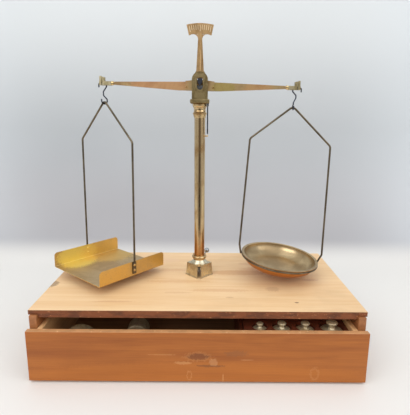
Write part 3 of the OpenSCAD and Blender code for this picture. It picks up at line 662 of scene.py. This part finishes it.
def refined(
    node: str, name: str, bevel: float, segments: int = 2, angle: float = 32.0
) -> bpy.types.Object:
    """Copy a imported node, merge its loose triangles and round its edges.

    Its smooth shading is weighted by face size, so that flats stay flat.

    Args:
        node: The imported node's name.
        name: The copy's name.
        bevel: Width of the rounding in metres.
        segments: Steps across the rounding.
        angle: Least turn, in degrees, of an edge that is rounded.

    Returns:
        The copy, which stands for the node.
    """
    shape = merged_shape(node)
    bmesh.ops.dissolve_limit(
        shape, angle_limit=FLAT_TURN, verts=shape.verts, edges=shape.edges, delimit={"NORMAL"}
    )
    made = smooth_object(name, shape)
    rounding = made.modifiers.new("rounded edges", "BEVEL")
    rounding.width = bevel
    rounding.segments = segments
    rounding.limit_method = "ANGLE"
    rounding.angle_limit = math.radians(angle)
    rounding.harden_normals = False
    shading = made.modifiers.new("even shading", "WEIGHTED_NORMAL")
    shading.keep_sharp = True
    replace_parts(made, node)
    return made


# ---- Finishes of this balance ----

CREAM_WOOD = tone(246, 211, 164)
HONEY_WOOD = tone(228, 182, 128)
RUST_EDGE = tone(130, 70, 32)
BOARD_TOP = 0.091
FRONT_FACE = -0.1228


def on_board(at: tuple[float, float], reach: Point, *look: Any) -> Mark:
    """Place a mark on the top board, by its X and Y."""
    return Mark((*at, BOARD_TOP), reach, *look)


def on_front(at: tuple[float, float], reach: Point, *look: Any) -> Mark:
    """Place a mark on the drawer front's face, by its X and Z."""
    return Mark((at[0], FRONT_FACE, at[1]), reach, *look)


@dataclass(frozen=True)
class Finishes:
    """Every finish on the balance, built once."""

    board: WoodFinish = WoodFinish(
        "board_beech", CREAM_WOOD, HONEY_WOOD, figure=0.45, fibre=0.42, band=0.014, edge=RUST_EDGE,
        edge_fleck=tone(206, 140, 88), soil=0.2,
        marks=(
            on_board((0.1035, -0.0430), (0.0105, 0.0075, 0.004), tone(186, 140, 104), 0.35, 0.8),
            on_board((0.1280, -0.0840), (0.0030, 0.0016, 0.004), tone(120, 72, 46), 0.8, 0.3),
            on_board((-0.2085, -0.0300), (0.0075, 0.0110, 0.006), tone(120, 92, 70), 0.6, 0.8),
            on_board((0.0600, 0.0170), (0.0560, 0.0100, 0.006), tone(208, 150, 94), 0.5, 0.5),
            on_board((0.1250, 0.0300), (0.0600, 0.0160, 0.006), tone(214, 158, 104), 0.4, 0.6),
            on_board((-0.0500, 0.0260), (0.0380, 0.0060, 0.006), tone(222, 168, 118), 0.45, 0.7),
            on_board((-0.0300, -0.0180), (0.0500, 0.0050, 0.006), tone(220, 168, 114), 0.45, 0.8),
            on_board((0.0300, -0.0480), (0.0460, 0.0050, 0.006), tone(218, 164, 116), 0.4, 0.8),
            on_board((-0.0900, 0.0700), (0.0600, 0.0160, 0.006), tone(236, 196, 158), 0.5, 0.6),
            on_board((-0.0300, -0.0560), (0.0200, 0.0030, 0.004), tone(214, 164, 118), 0.35, 0.8),
            on_board((0.0420, -0.0700), (0.0050, 0.0024, 0.004), tone(190, 140, 98), 0.4, 0.7),
            on_board((-0.1100, -0.0840), (0.0260, 0.0022, 0.004), tone(214, 160, 118), 0.5, 0.8),
            on_board((0.1640, -0.0100), (0.0120, 0.0040, 0.004), tone(208, 158, 118), 0.5, 0.8),
            on_board((0.0800, 0.0560), (0.0180, 0.0060, 0.004), tone(214, 166, 124), 0.4, 0.8),
        ),
    )
    case: WoodFinish = WoodFinish(
        "case_beech", tone(184, 122, 74), tone(136, 82, 44), grain=Axis.Y, figure=0.6, fibre=0.35,
        roughness=0.46, soil=0.3,
    )
    case_back: WoodFinish = WoodFinish(
        "case_back_ply", tone(184, 128, 82), tone(140, 90, 54), figure=0.6, soil=0.3,
    )
    front: WoodFinish = WoodFinish(
        "drawer_front_beech", tone(180, 106, 42), tone(148, 80, 30), figure=0.65, fibre=0.45,
        band=0.012, roughness=0.5, edge=tone(206, 150, 100), edge_axis=Axis.Y,
        edge_fleck=tone(236, 194, 146), edge_depth=0.8, soil=0.22, varnish=0.08,
        marks=(
            on_front((0.0010, 0.0375), (0.0140, 0.004, 0.0048), tone(122, 70, 36), 0.7, 0.3),
            on_front((0.0010, 0.0375), (0.0170, 0.004, 0.0066), tone(196, 136, 80), 0.4, 0.9, True),
            on_front((0.0, 0.0050), (0.2400, 0.010, 0.0260), tone(192, 114, 42), 0.45, 0.15),
            on_front((-0.0180, 0.0290), (0.0120, 0.004, 0.0020), tone(206, 146, 90), 0.55, 0.9),
            on_front((0.0150, 0.0250), (0.0190, 0.004, 0.0016), tone(96, 62, 40), 0.5, 0.9),
            on_front((0.0200, 0.0300), (0.0060, 0.004, 0.0050), tone(204, 148, 98), 0.45, 1.0),
            on_front((0.0480, 0.0420), (0.0150, 0.004, 0.0040), tone(128, 84, 54), 0.35, 1.0),
            on_front((0.0600, 0.0335), (0.0090, 0.004, 0.0005), tone(216, 160, 106), 0.5, 0.7),
            on_front((0.0319, 0.0080), (0.0007, 0.004, 0.0060), tone(216, 162, 106), 0.5, 0.7),
            on_front(
                (-0.0100, 0.0120), (0.0034, 0.004, 0.0066), tone(214, 156, 98), 0.4, 0.8, True
            ),
            on_front(
                (0.1450, 0.0150), (0.0060, 0.004, 0.0090), tone(208, 150, 94), 0.28, 0.7, True
            ),
            on_front((-0.0420, 0.0400), (0.0180, 0.004, 0.0008), tone(204, 146, 90), 0.4, 0.9),
        ),
    )
    drawer: WoodFinish = WoodFinish(
        "drawer_wood", tone(232, 186, 132), tone(196, 142, 92), grain=Axis.Y, figure=0.5,
        roughness=0.6, soil=0.3, varnish=0.0,
    )
    drawer_across: WoodFinish = WoodFinish(
        "drawer_bottom_ply", tone(176, 132, 92), tone(134, 94, 62), figure=0.5, roughness=0.62,
        soil=0.45, varnish=0.0,
    )
    block: WoodFinish = WoodFinish(
        "weight_block_mahogany", tone(124, 60, 36), tone(72, 30, 18), figure=0.6, roughness=0.5,
        soil=0.3,
    )
    column: MetalFinish = MetalFinish(
        "column_brass", tone(204, 178, 136), tone(168, 132, 86), patch=30.0, cover=0.3, spots=0.25,
        roughness=0.17, spread=0.1, streak_axis=Axis.Z, low=tone(176, 116, 56),
        low_span=(0.11, 0.2),
    )
    collar: MetalFinish = MetalFinish(
        "collar_brass", tone(208, 180, 134), tone(150, 118, 76), cover=0.35, roughness=0.18,
        spread=0.14,
    )
    foot: MetalFinish = MetalFinish(
        "foot_brass", tone(226, 216, 188), tone(182, 166, 132), cover=0.42, spots=0.35,
        roughness=0.26, spread=0.16,
    )
    head: MetalFinish = MetalFinish(
        "head_patina", tone(164, 146, 106), tone(116, 100, 66), patch=80.0, cover=0.5, spots=0.4,
        roughness=0.4, spread=0.2,
    )
    ends: MetalFinish = MetalFinish(
        "end_brass", tone(206, 194, 158), tone(150, 136, 98), patch=110.0, cover=0.4,
        roughness=0.36, spread=0.16,
    )
    scale: MetalFinish = MetalFinish(
        "scale_brass", tone(198, 164, 118), tone(160, 128, 86), patch=70.0, cover=0.42,
        roughness=0.42, spread=0.16, streak_axis=Axis.Z, filled=tone(255, 240, 206),
        filled_from=0.01555,
    )
    beam: MetalFinish = MetalFinish(
        "beam_brass", tone(196, 168, 122), tone(156, 126, 88), patch=45.0, cover=0.4, spots=0.3,
        roughness=0.42, spread=0.14,
        marks=(
            Mark((-0.0560, 0.0100, 0.3690), (0.0420, 0.020, 0.0140), tone(212, 156, 114), 0.5, 0.5),
            Mark((0.0820, 0.0100, 0.3650), (0.0220, 0.020, 0.0100), tone(206, 154, 106), 0.4, 0.5),
            Mark((0.0330, 0.0100, 0.3650), (0.0170, 0.020, 0.0100), tone(166, 152, 84), 0.6, 0.5),
        ),
    )
    bright: MetalFinish = MetalFinish(
        "collar_ring_brass", tone(240, 214, 158), tone(180, 140, 88), cover=0.2, spots=0.2,
        roughness=0.18, spread=0.1,
    )
    pan: MetalFinish = MetalFinish(
        "pan_brass", tone(204, 178, 136), tone(180, 152, 112), patch=26.0, cover=0.45, spots=0.25,
        # Painted highlight: the pan's flanges get a yellow gleam colour.
        roughness=0.36, spread=0.12, streak=0.3, upright=tone(224, 186, 108),
        marks=(
            # Painted highlight: a yellow gleam on the left part of the back flange.
            Mark(
                (-0.1900, 0.0300, 0.1140), (0.0340, 0.0400, 0.0180), tone(255, 232, 128), 0.7, 0.35
            ),
            # Painted highlight: a fainter yellow gleam further along the back flange.
            Mark(
                (-0.1500, 0.0600, 0.1120), (0.0500, 0.0400, 0.0160), tone(242, 204, 116), 0.5, 0.5
            ),
        ),
    )
    dish: MetalFinish = MetalFinish(
        "dish_brass", tone(196, 172, 132), tone(166, 142, 106), patch=30.0, cover=0.45, spots=0.3,
        roughness=0.28, spread=0.14, under=tone(190, 128, 70),
    )
    knob: MetalFinish = MetalFinish(
        "weight_brass", tone(232, 216, 180), tone(190, 166, 124), patch=120.0, cover=0.3, spots=0.3,
        roughness=0.4, spread=0.14, shine=0.6,
    )
    wire: MetalFinish = MetalFinish(
        "bow_wire_brass", tone(124, 112, 92), tone(92, 82, 66), patch=50.0, cover=0.5, spots=0.25,
        roughness=0.36, spread=0.16, streak_axis=Axis.Z,
    )
    steel: MetalFinish = MetalFinish(
        "polished_steel", tone(176, 180, 184), tone(106, 104, 100), cover=0.3, roughness=0.24,
        spread=0.2,
    )
    blued: MetalFinish = MetalFinish(
        "blued_steel", tone(84, 88, 100), tone(52, 48, 48), patch=120.0, cover=0.4, roughness=0.32,
        spread=0.18,
    )
    white_metal: MetalFinish = MetalFinish(
        "bearing_steel", tone(120, 124, 128), tone(62, 62, 64), patch=200.0, cover=0.45,
        roughness=0.3,
    )


class Workshop:
    """Builds each finish once and puts pieces on their bodies."""

    def __init__(self) -> None:
        """Start with no finish built."""
        self.finishes = Finishes()
        self._built: dict[str, bpy.types.Material] = {}

    def material(self, finish: Union[WoodFinish, MetalFinish]) -> bpy.types.Material:
        """Return a finish's material, built on its first use."""
        if finish.name not in self._built:
            self._built[finish.name] = finish.build()
        return self._built[finish.name]

    def dress(self, made: bpy.types.Object, finish: Union[WoodFinish, MetalFinish]) -> None:
        """Give an object one finish."""
        made.data.materials.clear()
        made.data.materials.append(self.material(finish))

    def dress_nodes(self, nodes: Iterable[str], finish: Union[WoodFinish, MetalFinish]) -> None:
        """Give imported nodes, shown as they are, one finish."""
        for node in nodes:
            self.dress(bpy.data.objects[node], finish)
            LOG.info("dressed %s as %s", node, finish.name)

    def mount(
        self,
        made: bpy.types.Object,
        body: str,
        slot: str,
        finish: Union[WoodFinish, MetalFinish],
    ) -> bpy.types.Object:
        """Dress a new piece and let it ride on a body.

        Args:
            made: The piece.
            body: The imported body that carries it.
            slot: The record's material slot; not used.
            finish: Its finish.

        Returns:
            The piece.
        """
        self.dress(made, finish)
        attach(made, body)
        LOG.info("built %s on %s", made.name, body)
        return made


# ---- Sub-assemblies ----


@dataclass
class Case:
    """The wooden case under the column."""

    shop: Workshop
    board_bevel: float = 0.9 * MM
    panel_bevel: float = 0.7 * MM

    def build(self) -> None:
        """Round the boards' edges and give each board its grain."""
        kinds = self.shop.finishes
        boards = {
            "top_board": (self.board_bevel, "board_wood", kinds.board),
            "bottom_board": (self.panel_bevel, "board_wood", kinds.drawer_across),
            "left_side": (self.panel_bevel, "case_wood", kinds.case),
            "right_side": (self.panel_bevel, "case_wood", kinds.case),
            "back_panel": (self.panel_bevel, "case_wood", kinds.case_back),
        }
        for node, (bevel, slot, finish) in boards.items():
            self.shop.mount(refined(node, f"case_{node}", bevel, 3), "case", slot, finish)


@dataclass
class Drawer:
    """The drawer, its weight block and the knob weights."""

    shop: Workshop
    front_bevel: float = 1.0 * MM
    wall_bevel: float = 0.8 * MM
    knob_share: float = 0.24
    loose_gap: float = 4.0 * MM
    second_x: float = -86.0 * MM
    second_step: float = 52.0 * MM

    def build(self) -> None:
        """Build the drawer's boards, the block and the weights."""
        kinds = self.shop.finishes
        boards = {
            "drawer_front": (self.front_bevel, "front_wood", kinds.front),
            "drawer_left_side": (self.wall_bevel, "drawer_wood", kinds.drawer),
            "drawer_right_side": (self.wall_bevel, "drawer_wood", kinds.drawer),
            "drawer_back": (self.wall_bevel, "drawer_wood", kinds.drawer_across),
            "drawer_bottom": (0.3 * MM, "drawer_wood", kinds.drawer_across),
            "drawer_divider": (self.wall_bevel, "drawer_wood", kinds.block),
            "weight_block": (0.5 * MM, "block_wood", kinds.block),
        }
        for node, (bevel, slot, finish) in boards.items():
            self.shop.mount(refined(node, f"drawer_{node}", bevel, 2), "drawer", slot, finish)
        for node in ("weight_200g", "weight_50g", "weight_20g", "weight_5g", "weight_1g"):
            self._weight(node, *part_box(node))
        self._loose_weights()
        for node in ("weights_100g", "weights_10g", "weights_2g"):
            self._weight_pair(node)

    def _loose_weights(self) -> None:
        """Lay two loose weights on the drawer's bottom, knobs to the back, as in the photograph."""
        kind = self.shop.finishes.knob
        _, front_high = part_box("drawer_front")
        low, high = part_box("weight_500g")
        largest = high.x - low.x
        block_low, block_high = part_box("weight_200g")
        smaller = block_high.x - block_low.x
        lying = Matrix.Rotation(-math.pi / 2, 4, "X")
        y = front_high.y + self.loose_gap
        spots = (
            ("weight_500g_lying", largest, (low.x + high.x) / 2, y),
            ("weight_200g_lying", smaller, self.second_x, y + self.second_step),
        )
        for name, width, x, front in spots:
            place = Matrix.Translation((x, front, low.z + width / 2)) @ lying
            made = lathe(name, self._outline(width), place, 64)
            self.shop.mount(made, "drawer", "weight_brass", kind)
            if width == largest:
                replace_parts(made, "weight_500g")

    def _weight_pair(self, node: str) -> None:
        """Build the two equal weights of one node, which stand side by side along X."""
        low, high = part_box(node)
        width = high.y - low.y
        left_high = Vector((low.x + width, high.y, high.z))
        right_low = Vector((high.x - width, low.y, low.z))
        left = self._shape(f"{node}_left", low, left_high)
        right = self._shape(f"{node}_right", right_low, high)
        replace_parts(left, node)
        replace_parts(right, node)

    def _weight(self, node: str, low: Vector, high: Vector) -> None:
        """Build one knob weight in a node's place."""
        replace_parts(self._shape(f"{node}_turned", low, high), node)

    def _shape(self, name: str, low: Vector, high: Vector) -> bpy.types.Object:
        """Turn a weight between two corners.

        The body is a cylinder with a soft shoulder, the neck a waist, the knob a flattened dome.
        """
        width = high.x - low.x
        middle = Vector(((low.x + high.x) / 2, (low.y + high.y) / 2, low.z))
        made = lathe(name, self._outline(width), Matrix.Translation(middle), 64)
        return self.shop.mount(made, "drawer", "weight_brass", self.shop.finishes.knob)

    def _outline(self, width: float) -> np.ndarray:
        """Return the softened outline of a weight of a given body width."""
        tall = width * 1.28
        r, body, neck, knob = width / 2, width * 0.88, width * 0.22, width * 0.18
        kr = width * self.knob_share
        outline = [
            (0.0, 0.0), (r - r * 0.05, 0.0), (r, r * 0.05), (r, body - r * 0.12), (r * 0.86, body),
            (r * 0.6, body + r * 0.02), (r * 0.36, body + neck * 0.2),
            (r * 0.24, body + neck * 0.6), (r * 0.26, body + neck),
            (kr * 0.7, body + neck + knob * 0.02), (kr, body + neck + knob * 0.36),
            (kr * 0.96, body + neck + knob * 0.74), (kr * 0.5, tall - knob * 0.03), (0.0, tall),
        ]  # fmt: skip
        return softened(outline, width * 0.05, 6)


@dataclass
class Column:
    """Foot, tube, capital, head plate and the small gear on them."""

    shop: Workshop
    turns: int = 128

    def build(self) -> None:
        """Round the edges of the foot and the head plate and dress the rest."""
        kinds = self.shop.finishes
        foot = refined("foot_block", "column_foot", 0.45 * MM, 2, 24.0)
        self.shop.mount(foot, "case", "old_brass", kinds.foot)
        plate = refined("head_plate", "column_head_plate", 0.35 * MM, 2, 24.0)
        self.shop.mount(plate, "case", "old_brass", kinds.head)
        self.shop.dress_nodes(("column_tube",), kinds.column)
        self.shop.dress_nodes(("foot_collar", "index_peg", "capital"), kinds.collar)
        self.shop.dress_nodes(("plumb_lug", "foot_screws", "lever_pin", "lever_ball"), kinds.steel)
        self.shop.dress_nodes(("arrest_lever", "lift_rod", "lift_saddle"), kinds.steel)
        self.shop.dress_nodes(("plumb_rod",), kinds.blued)


@dataclass
class Head:
    """Fork, bearings and the scale plate with its ruled lines."""

    shop: Workshop
    fork_bevel: float = 0.4 * MM

    def build(self) -> None:
        """Round the fork and the scale and dress the small pieces."""
        kinds = self.shop.finishes
        fork = refined("head_fork", "head_fork_casting", self.fork_bevel, 2, 30.0)
        self.shop.mount(fork, "case", "old_brass", kinds.head)
        plate = refined("scale_plate", "head_scale", 0.2 * MM, 2, 30.0)
        self.shop.mount(plate, "case", "scale_brass", kinds.scale)
        self.shop.dress_nodes(("front_bearing", "rear_bearing"), kinds.white_metal)
        self.shop.dress_nodes(("scale_screws",), kinds.steel)


@dataclass
class Beam:
    """Beam, end pieces, knives and pointer."""

    shop: Workshop
    edge: float = 0.7 * MM

    def build(self) -> None:
        """Round the beam's castings and dress the small pieces."""
        kinds = self.shop.finishes
        beam = refined("beam", "beam_casting", self.edge, 3, 28.0)
        self.shop.mount(beam, "beam_group", "beam_brass", kinds.beam)
        for node in ("left_end", "right_end"):
            piece = refined(node, f"beam_{node}", 0.25 * MM, 2, 30.0)
            self.shop.mount(piece, "beam_group", "beam_brass", kinds.ends)
        self.shop.dress_nodes(("beam_collars", "boss_screws"), kinds.bright)
        self.shop.dress_nodes(("pointer",), kinds.scale)
        self.shop.dress_nodes(("centre_knife", "left_knife", "right_knife"), kinds.blued)


@dataclass
class Pans:
    """Hooks, bows, the square pan and the round dish.

    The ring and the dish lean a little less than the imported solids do, as the photograph shows, and
    the bow's legs follow the ring.
    """

    shop: Workshop
    sheet_bevel: float = 0.2 * MM
    ring_lean: float = 12.2
    shown_lean: float = 6.4
    nod: float = 2.4
    ramp_top: float = 172.0 * MM

    def build(self) -> None:
        """Dress the wires and build the two pans."""
        kinds = self.shop.finishes
        self.shop.dress_nodes(("left_hook", "right_hook"), kinds.blued)
        self.shop.dress_nodes(("left_bow",), kinds.wire)
        pan = refined("square_pan", "pan_trough", self.sheet_bevel, 2, 30.0)
        self.shop.mount(pan, "left_pan", "pan_brass", kinds.pan)
        self.shop.dress_nodes(("pan_rivets",), kinds.pan)
        self._lean_dish()

    def _lean_dish(self) -> None:
        """Turn copies of the ring and the dish about the ring's middle, and stretch the bow."""
        kinds = self.shop.finishes
        low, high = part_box("dish_ring")
        centre = (low + high) / 2
        turn = Matrix.Rotation(math.radians(self.nod), 4, "X")
        turn = turn @ Matrix.Rotation(math.radians(self.shown_lean - self.ring_lean), 4, "Y")
        about = Matrix.Translation(centre) @ turn @ Matrix.Translation(-centre)
        for node, body, slot, finish in (
            ("dish_ring", "right_pan", "bow_wire", kinds.wire),
            ("round_dish", "dish", "dish_brass", kinds.dish),
        ):
            piece = merged_copy(node, f"leaning_{node}")
            piece.data.transform(about)
            self.shop.mount(piece, body, slot, finish)
        bow = merged_copy("right_bow", "right_bow_wire")
        self._follow_ring(bow.data, centre, (high.x - low.x) / 2, (high.z - low.z) / 2)
        self.shop.mount(bow, "right_pan", "bow_wire", kinds.wire)

    def _follow_ring(self, mesh: bpy.types.Mesh, centre: Vector, reach: float, rise: float) -> None:
        """Move the lower ends of the bow's legs with the ring.

        Each point is shifted by the ring's own shift at that side, times a smooth rise from 0 at
        the top of the ramp to 1 at the ring.

        Args:
            mesh: The bow's mesh.
            centre: The ring's middle.
            reach: Half the ring's width along X.
            rise: Half the ring's height.
        """
        points = np.empty(len(mesh.vertices) * 3, dtype=np.float32)
        mesh.vertices.foreach_get("co", points)
        points = points.reshape(-1, 3)
        side = np.sign(points[:, 0] - centre.x)
        old, new = math.radians(self.ring_lean), math.radians(self.shown_lean)
        radius = reach / math.cos(old)
        ring_z = centre.z - side * radius * math.sin(old)
        share = np.clip((self.ramp_top - points[:, 2]) / (self.ramp_top - ring_z), 0, 1)
        share = share * share * (3 - 2 * share)
        points[:, 0] += side * radius * (math.cos(new) - math.cos(old)) * share
        points[:, 2] += side * radius * (math.sin(old) - math.sin(new)) * share
        mesh.vertices.foreach_set("co", points.ravel())
        mesh.update()


# ---- Studio ----


@dataclass
class Studio:
    """Floor, backdrop, lamps, surroundings and camera."""

    camera_at: Point = (0.0081, -0.5528, 0.3213)
    pitch: float = 11.73
    roll: float = 0.37
    focal_px: float = 390.0
    image: tuple[int, int] = (410, 415)
    axis_px: tuple[float, float] = (205.0, 201.7)
    bend_start: float = 0.27
    bend_radius: float = 0.3
    front_edge: float = -0.5
    floor_tone: Colour = tone(236, 233, 228)
    lamps: tuple[tuple[str, Point, Point, tuple[float, float], float], ...] = field(
        default_factory=lambda: (
            ("key", (-0.9, -1.25, 1.25), (0.0, 0.0, 0.15), (1.6, 1.2), 14.0),
            ("fill", (1.2, -1.0, 1.05), (0.0, 0.0, 0.15), (1.6, 1.2), 9.0),
            ("top", (0.0, -0.1, 2.1), (0.0, 0.0, 0.1), (2.6, 2.2), 10.5),
        )
    )

    def build(self) -> None:
        """Build the sweep, the surroundings, the lamps and the camera."""
        self._sweep()
        self._surroundings()
        for name, at, aim, size, power in self.lamps:
            self._lamp(name, at, aim, size, power)
        self._camera()

    def _sweep(self) -> None:
        """Build the floor and backdrop as one sheet, with painted shade and light on the backdrop.

        Along the sheet it is flat up to the bend, then a quarter circle, then upright.
        """
        start, radius = self.bend_start, self.bend_radius
        turn = np.linspace(0, np.pi / 2, 40)
        y = np.concatenate(
            [[self.front_edge, -0.2, 0.0], start + radius * np.sin(turn), [start + radius]]
        )
        z = np.concatenate([[0.0, 0.0, 0.0], radius * (1 - np.cos(turn)), [2.6]])
        x = np.linspace(-2.6, 2.6, 12)
        wide, deep = np.meshgrid(x, y)
        high = np.broadcast_to(z[:, None], wide.shape)
        grid = np.stack([wide, deep, high], axis=-1).reshape(-1, 3)
        sheet = mesh_object("studio_sweep", grid, grid_faces(len(y), len(x), False, False))
        material, tree = new_material("studio_paper")
        place = tree.place()
        across, _, up = tree.parts(place)
        cloud = tree.noise(tree.stretched(place, (1.6, 1.6, 1.6)), 2.0, 0.5)
        # Painted shade and light: the backdrop is grey low down, and brighter higher up and towards
        # both sides.
        low_wall_shade = tree.mix(tone(178, 176, 178), tone(186, 190, 193), up.step(0.06, 0.3))
        wall = tree.mix(low_wall_shade, tone(238, 242, 243), up.step(0.2, 0.7))
        wall = tree.mix(wall, tone(236, 242, 246), abs(across + 0.04).step(0.34, 0.85) * 0.8)
        wall = tree.mix(wall, tone(214, 217, 219), cloud.step(0.4, 0.7) * 0.2)
        colour = tree.mix(self.floor_tone, wall, up.step(0.0, 0.03))
        tree.surface({"Base Color": colour, "Roughness": 0.85, "Specular IOR Level": 0.2})
        sheet.data.materials.append(material)

    def _surroundings(self) -> None:
        """Light the room evenly, with a darker middle behind the camera for metal to show."""
        world = bpy.data.worlds.new("studio_room")
        bpy.context.scene.world = world
        tree = ShaderTree(world)
        direction = tree.node("ShaderNodeTexCoord", {}, {}).outputs["Generated"]
        x, y, z = tree.parts(direction)
        middle = tree.mix(tone(46, 38, 32), tone(120, 108, 98), z.step(-0.3, 0.02))
        middle = tree.mix(middle, tone(214, 212, 208), z.step(0.04, 0.26))
        room = tree.mix(middle, tone(216, 219, 223), abs(x).step(0.2, 0.6))
        room = tree.mix(room, tone(230, 233, 238), z.step(0.3, 0.9))
        room = tree.mix(room, tone(214, 219, 226), y.step(0.1, 0.5))
        back = tree.node("ShaderNodeBackground", {}, {"Color": room, "Strength": 0.8})
        tree.node("ShaderNodeOutputWorld", {}, {"Surface": back.outputs["Background"]})

    def _lamp(
        self, name: str, at: Point, aim: Point, size: tuple[float, float], power: float
    ) -> None:
        """Hang one soft rectangular lamp.

        Args:
            name: Its name.
            at: Its place.
            aim: What it points at.
            size: Its width and height.
            power: Its power in watts.
        """
        light = bpy.data.lights.new(name, "AREA")
        light.shape = "RECTANGLE"
        light.size, light.size_y = size
        light.energy = power
        lamp = linked(name, light)
        turn = (Vector(aim) - Vector(at)).to_track_quat("-Z", "Y").to_matrix().to_4x4()
        lamp.matrix_world = Matrix.Translation(at) @ turn

    def _camera(self) -> None:
        """Set the camera to the portrait's view."""
        pitch, roll = math.radians(self.pitch), math.radians(self.roll)
        forward = Vector((0, math.cos(pitch), -math.sin(pitch)))
        up = Vector((0, math.sin(pitch), math.cos(pitch)))
        right = Vector((1, 0, 0))
        turned_right = right * math.cos(roll) + up * math.sin(roll)
        turned_up = up * math.cos(roll) - right * math.sin(roll)
        turn = Matrix((turned_right, turned_up, -forward)).transposed().to_4x4()
        lens = bpy.data.cameras.new("portrait")
        larger = max(self.image)
        lens.sensor_width = 36.0
        lens.sensor_fit = "AUTO"
        lens.lens = self.focal_px * lens.sensor_width / larger
        lens.shift_x = (self.image[0] / 2 - self.axis_px[0]) / larger
        lens.shift_y = (self.axis_px[1] - self.image[1] / 2) / larger
        lens.clip_start = 0.01
        camera = linked("portrait", lens)
        camera.matrix_world = Matrix.Translation(self.camera_at) @ turn
        bpy.context.scene.camera = camera


def main() -> None:
    """Load the frame and build every sub-assembly and the studio."""
    logging.basicConfig(level=logging.INFO, format="%(name)s: %(message)s")
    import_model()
    shop = Workshop()
    for part in (Case(shop), Drawer(shop), Column(shop), Head(shop), Beam(shop), Pans(shop)):
        part.build()
    Studio().build()
    bpy.context.scene.view_settings.view_transform = "Standard"
    bpy.context.view_layer.update()


if __name__ == "__main__":
    main()
